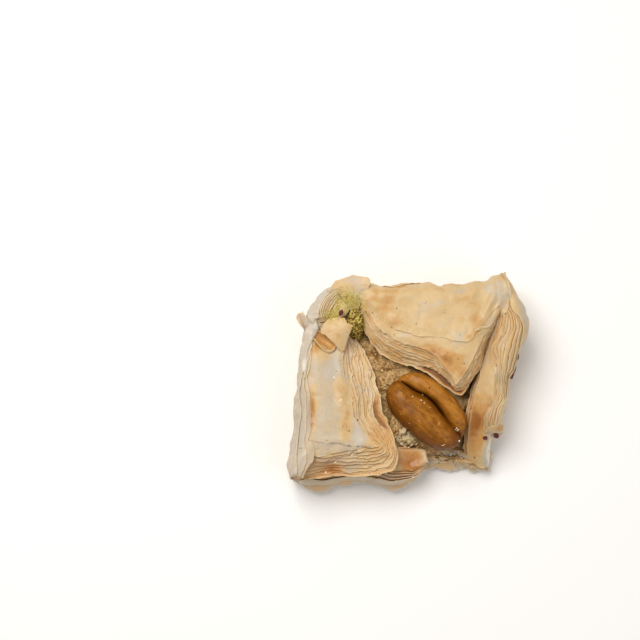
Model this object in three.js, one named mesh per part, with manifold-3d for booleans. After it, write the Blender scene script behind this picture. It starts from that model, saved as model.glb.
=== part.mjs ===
// An open baklava parcel. A square stack of phyllo sheets has its four corners folded in over ground nuts,
// and a split roasted nut lies in the opening that the flaps leave.
// Millimetres, +Z up. The origin is on the resting face, under the middle of the parcel.
// +Y points to the broad flap that hangs over the filling, +X to the steep narrow one.
import * as THREE from "three";
import { mergeVertices } from "three/addons/utils/BufferGeometryUtils.js";
import Module from "manifold-3d";

const wasm = await Module();
wasm.setup();

// ---- Driving dimensions ----

const BASE_THICK = 4.6; // the unfolded middle of the stack
const FOLD_REACH = 4.6; // from a fold's outermost line in to where the stack lies flat again
const END_REACH = 0.35; // the share of its reach and its foot which is left at a fold's ends
const END_SHARE = 0.2; // of a fold's length, in which it narrows to its end
const FOLD_SQUARENESS = 2.5; // 2 rounds a fold like an ellipse, more makes its wall straighter
const WALL_SHARE = 0.82; // of a fold's reach that the stack fills where it stands up
const BASE_LAP = 4; // how far a fold's foot runs in under the filling
const FOOT_SINK = 0.15; // of that foot's upper side below the base's
const FOOT_ROOM = 0.4; // and at least this far below the flap
const TERRACES = 5; // steps that the fanned sheets make along a free edge
const RISER_SHARE = 0.15; // how far a step's riser leans back, as a share of its tread
const UNDERSIDE = { flat: 0.7, from: 0.72, to: 0.98, ahead: 0.02 }; // shares of the way to the free edge
const GAP = 0.35; // between touching pieces
const FINEST = 0.03; // edges that a cut leaves shorter than this are closed up

// Each flap is the corner of the stack between two cut edges, turned up and over along its fold. Seen from
// above, the folds run anticlockwise round the parcel. `low` is the free edge of the flap's lowest sheet and
// `top` that of its topmost, which the fold has drawn back. `tip` counts their corner points up to the tip,
// and `tipAt` is the tip's share of the fold's length. Crests, rims and reaches are given at even distances.
const FLAPS = {
  left: {
    fold: [
      [-24.7, 18.6], [-26.1, 12.2], [-27.2, 9.4], [-27.7, 5.0],
      [-27.9, -2.3], [-28.2, -7.7], [-28.7, -14.7], [-29.2, -22.8],
    ],
    top: [
      [-22.6, 17.0], [-16.4, 10.8], [-16.0, 4.0], [-15.4, 0.0],
      [-13.4, -8.6], [-11.2, -13.0], [-7.1, -16.0],
      [-12.2, -16.5], [-18.5, -17.8], [-27.0, -17.0],
    ],
    low: [
      [-21.8, 17.6], [-18.0, 15.8], [-13.6, 12.2], [-9.0, 3.8], [-7.4, -3.6], [-5.2, -9.6], [-2.6, -18.6],
      [-3.6, -21.4], [-15.7, -22.6], [-26.6, -23.0],
    ],
    tip: 6,
    tipAt: 0.74,
    crest: [16.4, 17.4, 18.2, 17.4, 16.6],
    rim: [16.6, 16.8, 17.2, 17.4, 16.4],
    reach: [FOLD_REACH, FOLD_REACH],
    thick: 4.4,
    sag: 0.8,
  },
  bottom: {
    fold: [[-28.4, -23.4], [-24.6, -24.4], [-11.1, -23.4], [-3.2, -24.8], [2.7, -22.7], [4.5, -20.6]],
    top: [[-27.0, -21.2], [-15.0, -18.5], [-4.0, -15.6], [3.4, -15.6], [4.5, -17.0], [4.4, -18.4]],
    low: [[-27.0, -20.4], [-15.0, -17.5], [-4.0, -14.8], [3.8, -14.9], [5.1, -16.6], [5.0, -18.2]],
    tip: 3,
    tipAt: 0.9,
    crest: [10.4, 10.8, 9.4],
    rim: [10.0, 10.0, 9.4],
    reach: [FOLD_REACH, FOLD_REACH],
    thick: 1.6,
    sag: 0,
  },
  right: {
    fold: [
      [20.9, -20.8], [21.9, -16.5], [23.5, -11.1], [24.4, -5.0],
      [25.0, -1.0], [26.3, 4.2], [29.4, 11.4], [30.2, 14.6],
      [29.2, 19.2], [27.0, 22.6], [24.8, 26.2],
    ],
    top: [
      [19.2, -20.4], [16.4, -18.4], [15.1, -16.6], [15.0, -10.8],
      [16.6, -2.0], [18.6, 6.0], [20.0, 10.0], [21.4, 14.0],
      [22.2, 18.0], [22.0, 23.2],
    ],
    low: [
      [18.8, -20.6], [16.4, -19.2], [14.2, -17.0], [14.2, -11.4],
      [15.4, -2.5], [17.4, 5.0], [18.6, 9.0], [20.0, 13.0],
      [20.8, 17.5], [21.4, 23.4],
    ],
    tip: 2,
    tipAt: 0.12,
    crest: [4.0, 9.0, 14.0, 15.6, 17.0, 17.8, 18.2, 18.0, 17.6],
    rim: [3.4, 8.0, 12.4, 13.2, 13.4, 14.4, 16.0, 17.0, 17.2],
    reach: [2.6, 3.2, 4.0, 4.6, 4.6, 5.0, 5.6, 6.0, 6.0],
    thick: 2.0,
    sag: -0.4,
  },
  top: {
    fold: [
      [24.5, 28.0], [20.2, 26.4], [14.7, 25.0], [7.3, 24.6], [0.3, 25.5], [-6.3, 25.4], [-15.6, 25.8],
    ],
    top: [
      [24.0, 25.6], [23.2, 19.8], [21.2, 14.4], [18.4, 10.7], [14.5, 3.4], [12.2, -0.8],
      [7.0, 5.8], [0.7, 8.7], [-3.5, 10.4], [-7.5, 13.4], [-11.0, 18.8], [-14.2, 23.2],
    ],
    low: [
      [24.4, 25.0], [24.0, 20.2], [22.4, 14.4], [20.2, 10.2], [17.2, 3.2], [12.6, -3.1],
      [7.9, -0.6], [0.6, 4.2], [-3.3, 5.4], [-7.3, 7.8], [-12.4, 15.8], [-15.6, 22.8],
    ],
    tip: 5,
    tipAt: 0.34,
    crest: [18.6, 20.0, 19.6, 18.8, 18.4],
    rim: [18.4, 18.6, 18.0, 17.9, 18.0],
    reach: [FOLD_REACH, FOLD_REACH],
    thick: 4.4,
    sag: -0.6,
  },
  corner: {
    fold: [
      [-14.0, 26.4], [-17.6, 25.2], [-20.2, 24.0], [-22.4, 22.4],
      [-24.0, 20.8], [-24.9, 18.8], [-25.3, 16.6],
    ],
    top: [[-14.6, 22.2], [-14.2, 19.4], [-15.2, 16.9], [-17.6, 15.2], [-20.6, 14.6], [-23.4, 15.4]],
    low: [[-14.4, 22.0], [-13.0, 18.6], [-13.6, 15.8], [-16.6, 13.8], [-20.6, 13.4], [-23.6, 14.8]],
    tip: 3,
    tipAt: 0.55,
    crest: [17.8, 17.4, 16.4],
    rim: [17.8, 17.4, 16.8],
    reach: [3.0, 4.0, 3.4],
    thick: 3.6,
    sag: 0,
  },
};

// The unfolded base shows where the bottom flap has broken away, and its upper sheets end a little sooner.
const BASE_CORNERS = [
  [-23.0, 16.0], [-25.6, -19.6], [3.4, -19.8], [12.0, -19.6], [19.4, -20.2], [20.6, -17.0], [21.2, -12.0],
  [24.0, 0.0], [26.2, 8.0], [22.6, 24.0], [-16.5, 22.8],
];
const BASE_STEPS = 3;
const BASE_STEP_BACK = 1.0;
const BASE_STEP_LAP = 0.1; // of each step into the one below

// The ground nuts fill the pocket as a lumpy mound.
const FILLING = {
  centre: [-1.6, 1.6],
  reach: [22.2, 18.6],
  squareness: 3,
  height: 5.0,
  rimHeight: 0.9,
  lump: 0.5,
};
const LUMP_WAVES = [[0.9, 0.5], [-0.4, 1.1]]; // in radians per millimetre
const MOUND_RINGS = 7;
const MOUND_SPOKES = 36;

// A nut kernel in two halves, which lie side by side along a bent cleft. Distances across the kernel are to
// the left of its heading. A side is given at the middle, with how much it moves over towards the far end.
const NUT = {
  halfLength: 11.1,
  centre: [4.3, -7.2, 12.2],
  heading: -41.5, // of the long axis, in degrees from +X
  dip: 5, // of its far end
  roundness: 2.6, // of its outline, where 2 is an ellipse
  cleft: [1.5, 1.9, 2.3, 3.0, 3.1, 2.5, 1.8, 1.3, 1.5], // at even distances along it
  nearSide: -6.2,
  farSide: 7.6,
  nearRidge: -1.6,
  nearUp: 5.0,
  farUp: 4.5,
  down: 4.8,
  squareness: 0.88, // of its section, where 1 is an ellipse
  cleftSquareness: 0.6,
};
const NUT_RINGS = 15;
const NUT_TURNS = 16;
const NUT_END = 0.985; // the share of its half length at which it is closed
const THINNEST = 0.8; // width and height of a half at its ends

// ---- Colours ----

const crisp = (color) => new THREE.MeshStandardMaterial({ color, roughness: 0.55, metalness: 0 });
const glazed = (color) => new THREE.MeshStandardMaterial({ color, roughness: 0.25, metalness: 0 });

// ---- Lines and solids ----

const { lerp, degToRad } = THREE.MathUtils;

function curveOf(corners) {
  return new THREE.SplineCurve(corners.map((corner) => new THREE.Vector2(...corner)));
}

// A value at a share of the way, from values at even distances.
function valueAt(values, share) {
  const place = share * (values.length - 1);
  const before = Math.min(Math.floor(place), values.length - 2);
  return lerp(values[before], values[before + 1], place - before);
}

// The free edge of a sheet, as two curves that meet at its tip.
function freeEdge(corners, tip, tipAt) {
  const [toTip, fromTip] = [curveOf(corners.slice(0, tip + 1)), curveOf(corners.slice(tip))];
  return (u) => (u < tipAt ? toTip.getPointAt(u / tipAt) : fromTip.getPointAt((u - tipAt) / (1 - tipAt)));
}

function solidFrom(positions, triangles) {
  const mesh = new wasm.Mesh({
    numProp: 3,
    vertProperties: new Float32Array(positions),
    triVerts: new Uint32Array(triangles),
  });
  return new wasm.Manifold(mesh);
}

function solidOf(geometry) {
  geometry.deleteAttribute("normal");
  geometry.deleteAttribute("uv");
  const merged = mergeVertices(geometry, 1e-4);
  return solidFrom(merged.attributes.position.array, merged.index.array);
}

function geometryOf(solid) {
  const { vertProperties, triVerts } = solid.getMesh();
  const geometry = new THREE.BufferGeometry();
  geometry.setAttribute("position", new THREE.BufferAttribute(vertProperties, 3));
  geometry.setIndex(new THREE.BufferAttribute(triVerts, 1));
  return geometry;
}

// A closed solid between two sheets of points with the same rows and columns.
function solidBetween(outer, inner) {
  const rows = outer.length;
  const columns = outer[0].length;
  const positions = [...outer.flat(), ...inner.flat()].flatMap((p) => p.toArray());
  const triangles = [];
  const quad = (a, b, c, d) => triangles.push(a, b, c, a, c, d);
  const out = (i, j) => i * columns + j;
  const inn = (i, j) => rows * columns + i * columns + j;
  for (let i = 0; i < rows - 1; i++) {
    for (let j = 0; j < columns - 1; j++) {
      quad(out(i, j), out(i, j + 1), out(i + 1, j + 1), out(i + 1, j));
      quad(inn(i, j), inn(i + 1, j), inn(i + 1, j + 1), inn(i, j + 1));
    }
    quad(out(i, 0), out(i + 1, 0), inn(i + 1, 0), inn(i, 0));
    quad(out(i + 1, columns - 1), out(i, columns - 1), inn(i, columns - 1), inn(i + 1, columns - 1));
  }
  for (let j = 0; j < columns - 1; j++) {
    quad(out(0, j + 1), out(0, j), inn(0, j), inn(0, j + 1));
    quad(out(rows - 1, j), out(rows - 1, j + 1), inn(rows - 1, j + 1), inn(rows - 1, j));
  }
  return outwards(positions, triangles);
}

// A closed solid through rings of points, with the first and the last ring closed at their middles.
function solidThrough(rings) {
  const turns = rings[0].length;
  const middleOf = (ring) => ring.reduce((sum, p) => sum.add(p), new THREE.Vector3()).divideScalar(turns);
  const points = [...rings.flat(), middleOf(rings[0]), middleOf(rings.at(-1))];
  const [firstMiddle, lastMiddle] = [rings.length * turns, rings.length * turns + 1];
  const at = (i, j) => i * turns + (j % turns);
  const triangles = [];
  for (let j = 0; j < turns; j++) {
    triangles.push(firstMiddle, at(0, j + 1), at(0, j));
    triangles.push(lastMiddle, at(rings.length - 1, j), at(rings.length - 1, j + 1));
    for (let i = 0; i < rings.length - 1; i++) {
      triangles.push(at(i, j), at(i, j + 1), at(i + 1, j + 1));
      triangles.push(at(i, j), at(i + 1, j + 1), at(i + 1, j));
    }
  }
  return outwards(points.flatMap((p) => p.toArray()), triangles);
}

// A solid whose triangles are turned round if they face inwards.
function outwards(positions, triangles) {
  const solid = solidFrom(positions, triangles);
  return solid.volume() > 0 ? solid : solidFrom(positions, triangles.toReversed());
}

// What is left of a solid once its neighbours, moved a gap to every side, are taken out of it.
function clearOf(solid, neighbours, gap) {
  const shifts = [-gap, gap].flatMap((by) => [[by, 0, 0], [0, by, 0], [0, 0, by]]);
  let left = solid;
  for (const neighbour of neighbours) {
    for (const shift of shifts) {
      left = left.subtract(neighbour.translate(shift));
    }
  }
  return left.simplify(FINEST).decompose().sort((a, b) => b.volume() - a.volume())[0];
}

// ---- Pastry ----

const FOLD_ROWS = 15;
const WRAP_POINTS = 7;
const FLAP_POINTS = 3;

// A flap with its fold and foot, as the outer and inner side of one thick sheet. A point goes in from the
// fold's outermost line by `inset` at a height, or lies between the fold and the flap's free edge.
function foldedFlap(flap) {
  const foldLine = curveOf(flap.fold);
  const topLine = freeEdge(flap.top, flap.tip, flap.tipAt);
  const lowLine = freeEdge(flap.low, flap.tip, flap.tipAt);
  const chord = foldLine.getPoint(1).sub(foldLine.getPoint(0)).normalize();
  const outer = [];
  const inner = [];
  for (let row = 0; row < FOLD_ROWS; row++) {
    const u = row / (FOLD_ROWS - 1);
    const fold = foldLine.getPointAt(u);
    const [topEdge, lowEdge] = [topLine(u), lowLine(u)];
    const [crest, rim] = [valueAt(flap.crest, u), valueAt(flap.rim, u)];
    const underside = crest - flap.thick;
    const footTop = Math.min(BASE_THICK - FOOT_SINK, underside - FOOT_ROOM);
    const narrowing = lerp(END_REACH, 1, THREE.MathUtils.smoothstep(Math.min(u, 1 - u), 0, END_SHARE));
    const reach = valueAt(flap.reach, u) * narrowing;
    const lap = BASE_LAP * narrowing;
    const inset = (d, z) => new THREE.Vector3(fold.x - chord.y * d, fold.y + chord.x * d, z);
    const shoulder = inset(reach, crest);
    const outerRow = [inset(reach + lap, 0)];
    const innerRow = [inset(reach + lap, footTop)];
    for (let i = 0; i < WRAP_POINTS; i++) {
      const angle = lerp(-Math.PI / 2, Math.PI / 2, i / (WRAP_POINTS - 1));
      const side = Math.abs(Math.cos(angle)) ** (2 / FOLD_SQUARENESS);
      const rise = Math.sign(Math.sin(angle)) * Math.abs(Math.sin(angle)) ** (2 / FOLD_SQUARENESS);
      outerRow.push(inset(reach * (1 - side), (crest / 2) * (1 + rise)));
      innerRow.push(inset(reach * lerp(1, WALL_SHARE, side), lerp(footTop, underside, (1 + rise) / 2)));
    }
    const flapPoint = (edge, v, height) => {
      const plan = new THREE.Vector2(shoulder.x, shoulder.y).lerp(edge, v);
      const sagging = flap.sag * 4 * v * (1 - v);
      return new THREE.Vector3(plan.x, plan.y, lerp(crest, rim, v) - sagging + height);
    };
    for (let i = 1; i <= FLAP_POINTS; i++) {
      const v = i / (FLAP_POINTS + 1);
      outerRow.push(flapPoint(topEdge, v, 0));
      innerRow.push(flapPoint(lowEdge, v * UNDERSIDE.flat, -flap.thick));
    }
    const step = flap.thick / TERRACES;
    for (let k = 0; k < TERRACES; k++) {
      const edge = topEdge.clone().lerp(lowEdge, k / (TERRACES - 1));
      const lip = topEdge.clone().lerp(lowEdge, (k - RISER_SHARE) / (TERRACES - 1));
      const underneath = lerp(UNDERSIDE.from, UNDERSIDE.to, (k + 0.5) / TERRACES);
      outerRow.push(flapPoint(edge, 1, -k * step));
      innerRow.push(flapPoint(lowEdge, underneath, -flap.thick));
      if (k < TERRACES - 1) {
        outerRow.push(flapPoint(lip, 1, -(k + 1) * step));
        innerRow.push(flapPoint(lowEdge, underneath + UNDERSIDE.ahead, -flap.thick));
      }
    }
    outer.push(outerRow);
    inner.push(innerRow);
  }
  return solidBetween(outer, inner);
}

// The flat middle of the stack, in steps at its open edge.
function baseStack() {
  const layers = [];
  const rise = BASE_THICK / BASE_STEPS;
  for (let k = 0; k < BASE_STEPS; k++) {
    const corners = BASE_CORNERS.map((corner) => {
      const out = new THREE.Vector2(...corner);
      return out.setLength(out.length() - k * BASE_STEP_BACK);
    });
    const lap = k === 0 ? 0 : BASE_STEP_LAP;
    const outline = new THREE.Shape(corners);
    const layer = new THREE.ExtrudeGeometry(outline, { depth: rise + lap, bevelEnabled: false });
    layer.translate(0, 0, k * rise - lap);
    layers.push(solidOf(layer));
  }
  return layers.reduce((all, layer) => all.add(layer));
}

function pastrySolid() {
  return Object.values(FLAPS).map(foldedFlap).reduce((all, flap) => all.add(flap), baseStack());
}

// ---- Filling ----

// A ring of the mound at a share of its reach, on its top or on its floor.
function moundRing(share, isTop) {
  const { squareness, reach, centre, rimHeight, height, lump } = FILLING;
  const ring = [];
  for (let i = 0; i < MOUND_SPOKES; i++) {
    const angle = (i / MOUND_SPOKES) * Math.PI * 2;
    const [c, s] = [Math.cos(angle), Math.sin(angle)];
    const radius = share * (Math.abs(c) ** squareness + Math.abs(s) ** squareness) ** (-1 / squareness);
    const x = centre[0] + reach[0] * radius * c;
    const y = centre[1] + reach[1] * radius * s;
    const lumps = LUMP_WAVES.reduce((sum, [byX, byY]) => sum + lump * Math.sin(x * byX + y * byY), 0);
    const top = rimHeight + (height + lumps) * (1 - share ** 4);
    ring.push(new THREE.Vector3(x, y, BASE_THICK + GAP + (isTop ? top : 0)));
  }
  return ring;
}

function fillingSolid() {
  const rings = [moundRing(1, false)];
  for (let j = MOUND_RINGS; j > 0; j--) {
    rings.push(moundRing(j / MOUND_RINGS, true));
  }
  return solidThrough(rings);
}

// ---- Nut ----

// One half of the kernel, the near one or the one on the far side of the cleft.
function kernelHalf(isNear) {
  const heading = degToRad(NUT.heading);
  const dip = degToRad(NUT.dip);
  const long = new THREE.Vector3(Math.cos(heading), Math.sin(heading), -Math.tan(dip)).normalize();
  const across = new THREE.Vector3(-Math.sin(heading), Math.cos(heading), 0);
  const upright = long.clone().cross(across);
  const place = new THREE.Matrix4().makeBasis(long, across, upright).setPosition(...NUT.centre);
  const rings = [];
  for (let i = 0; i < NUT_RINGS; i++) {
    const share = NUT_END * Math.sin(lerp(-Math.PI / 2, Math.PI / 2, i / (NUT_RINGS - 1)));
    const rounding = (1 - Math.abs(share) ** NUT.roundness) ** (1 / NUT.roundness);
    const cleft = valueAt(NUT.cleft, (share + 1) / 2) * rounding;
    const low = isNear ? NUT.nearSide * rounding : cleft + GAP / 2;
    const high = isNear ? cleft - GAP / 2 : Math.max(NUT.farSide * rounding, low + THINNEST);
    const ridge = isNear ? NUT.nearRidge * rounding : (low + high) / 2;
    const thin = isNear ? rounding : rounding * THREE.MathUtils.smoothstep(high - low, 0, NUT.farUp);
    const up = Math.max((isNear ? NUT.nearUp : NUT.farUp) * thin, THINNEST / 2);
    const down = Math.max(NUT.down * thin, THINNEST / 2);
    const ring = [];
    for (let j = 0; j < NUT_TURNS; j++) {
      const turn = (j / NUT_TURNS) * Math.PI * 2;
      const [c, s] = [Math.cos(turn), Math.sin(turn)];
      const atCleft = s > 0 && (isNear ? c > 0 : c < 0);
      const power = atCleft ? NUT.cleftSquareness : NUT.squareness;
      const y = ridge + (c > 0 ? high - ridge : ridge - low) * Math.sign(c) * Math.abs(c) ** power;
      const z = (s > 0 ? up : down) * Math.sign(s) * Math.abs(s) ** power;
      ring.push(new THREE.Vector3(share * NUT.halfLength, y, z).applyMatrix4(place));
    }
    rings.push(ring);
  }
  return solidThrough(rings);
}

// ---- Assembly ----

function mesh(name, solid, material) {
  const made = new THREE.Mesh(geometryOf(solid), material);
  made.name = name;
  return made;
}

const upperHalf = kernelHalf(true);
const lowerHalf = kernelHalf(false);
const halves = [upperHalf, lowerHalf];
const pastry = clearOf(pastrySolid(), halves, GAP);
const filling = clearOf(fillingSolid(), [pastry, ...halves], GAP);

const baklava = new THREE.Group();
baklava.name = "baklava_piece";
baklava.add(mesh("pastry", pastry, crisp(0xe0c095)));
baklava.add(mesh("filling", filling, crisp(0xc29a62)));
baklava.add(mesh("nut_half_upper", upperHalf, glazed(0x99662a)));
baklava.add(mesh("nut_half_lower", lowerHalf, glazed(0xa37034)));

export default baklava;
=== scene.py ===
"""An open baklava parcel: phyllo sheets folded in over ground nuts, with a split roasted nut in the opening.

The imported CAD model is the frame. Shapes are worked out in millimetres, in the frame's axes, and written in
metres.
"""

import itertools
import math

import bpy
import numpy as np
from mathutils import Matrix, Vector
from mathutils.bvhtree import BVHTree


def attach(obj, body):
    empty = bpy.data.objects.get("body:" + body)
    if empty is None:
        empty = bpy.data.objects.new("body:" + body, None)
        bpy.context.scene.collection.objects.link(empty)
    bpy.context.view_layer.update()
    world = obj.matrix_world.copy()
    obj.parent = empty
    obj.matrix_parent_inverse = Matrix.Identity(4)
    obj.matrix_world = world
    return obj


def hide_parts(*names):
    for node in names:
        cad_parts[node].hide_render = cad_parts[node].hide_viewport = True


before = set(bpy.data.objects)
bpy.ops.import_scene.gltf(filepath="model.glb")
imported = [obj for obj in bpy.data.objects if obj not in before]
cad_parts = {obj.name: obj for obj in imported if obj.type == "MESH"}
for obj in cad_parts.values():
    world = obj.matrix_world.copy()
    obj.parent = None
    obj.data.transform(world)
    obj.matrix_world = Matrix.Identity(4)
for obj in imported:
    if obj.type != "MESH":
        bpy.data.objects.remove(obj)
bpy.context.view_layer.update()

MM = 0.001

FLOOR_HALF = 3.0  # metres
FLOOR_LEVEL = -0.0002
WARM_WHITE = (1.0, 0.97, 0.93)
WORLD_STRENGTH = 0.33
CAMERA_PLACE = (-0.021841, -0.039059, 0.324987)
CAMERA_TILT = 10  # degrees from straight down
CAMERA_LENS = 71.39
CAMERA_SENSOR = 36
CAMERA_NEAREST = 0.01

# ---- Sizes, in millimetres ----

BASE_THICK = 4.6  # the unfolded middle of the stack
FOLD_REACH = 4.6  # from a fold's outermost line in to where the stack lies flat again
END_REACH = 0.35  # the share of that reach left at a fold's ends
END_SHARE = 0.2  # of a fold's length, in which it narrows to its end
FOLD_SQUARENESS = 2.5
WALL_SHARE = 0.82  # of a fold's reach that the stack fills where it stands up
FOOT = 4.0  # how far a fold runs in under the parcel
LEAF_THICK = 0.2  # one sheet of phyllo
OUTER_PITCH = 0.24  # between the sheets that end at the crest
LEAF_GAP = 0.02  # the least room between two sheets
STEP = 0.32  # between the points along a sheet's edge
LEAF_STEP = 0.25  # the same for a loose leaf
STRIP_STEP = 0.22  # the same for a loose strip
# The paler rim along a free edge is partly the sheet's own colour and partly a painted highlight.
EDGE_FADE = 0.22  # how soon the paler rim along a sheet's free edge fades
STRIP_FADE = 0.3  # the same for the loose strips and the base
DROOP = 0.7  # the share of the room under its free edge by which a sheet sinks
BASE_SHEETS = 9
BASE_STEP = 0.46  # between the points round the base
BASE_STAIR = 0.2  # how much farther in each sheet of the base ends than the one under it
BASE_BOTTOM = 0.24  # the top of the base's lowest sheet
EDGE_WINDOW = 1.3  # how far to either side of a corner a drawn line is rounded off: that of a free edge
TORN_WINDOW = 0.8  # that of a torn edge or a strip
FOLD_WINDOW = 1.6  # that of a fold
PROFILE_WINDOW = 4.0  # that of a crest, a rim or a reach
FINE = 0.1  # between the points of a drawn line
LEAST_STEP = 1e-4  # by which the points of a sheet's edge move on along the fold
SHORTEST_FLAP = 3.0  # a flap slopes from crest to rim over this length at least
OUTER_SPAN = 7.0  # how much of an outer sheet is made, from its edge inwards
FAN_SPAN = 6.0  # the same for a fanned sheet
STIR = 0.22  # how far at most all the sheets are pushed about sideways
RAY_START = 30.0  # higher than anything that lies on the part
RAY_REACH = 40.0  # how far down from there the ground is looked for
WALL_TONE = 0.42  # how browned the sheets are where they stand upright


def area(x, y, first, second, turn=0, sharp=1, **values):
    """A place seen from above: its middle, two radii, the turn of the first, and what is there."""
    return dict(at=(x, y), size=(first, second), turn=turn, sharp=sharp, **values)


# What a flap has unless it says otherwise.
PLAIN_FLAP = dict(
    reach=(FOLD_REACH,) * 3, loose=0.8, rough=1.0, crevice=1.0, outer_crevice=1.0,
    bumps=[], stains_and_painted_light=[], stir=[],
)
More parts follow.
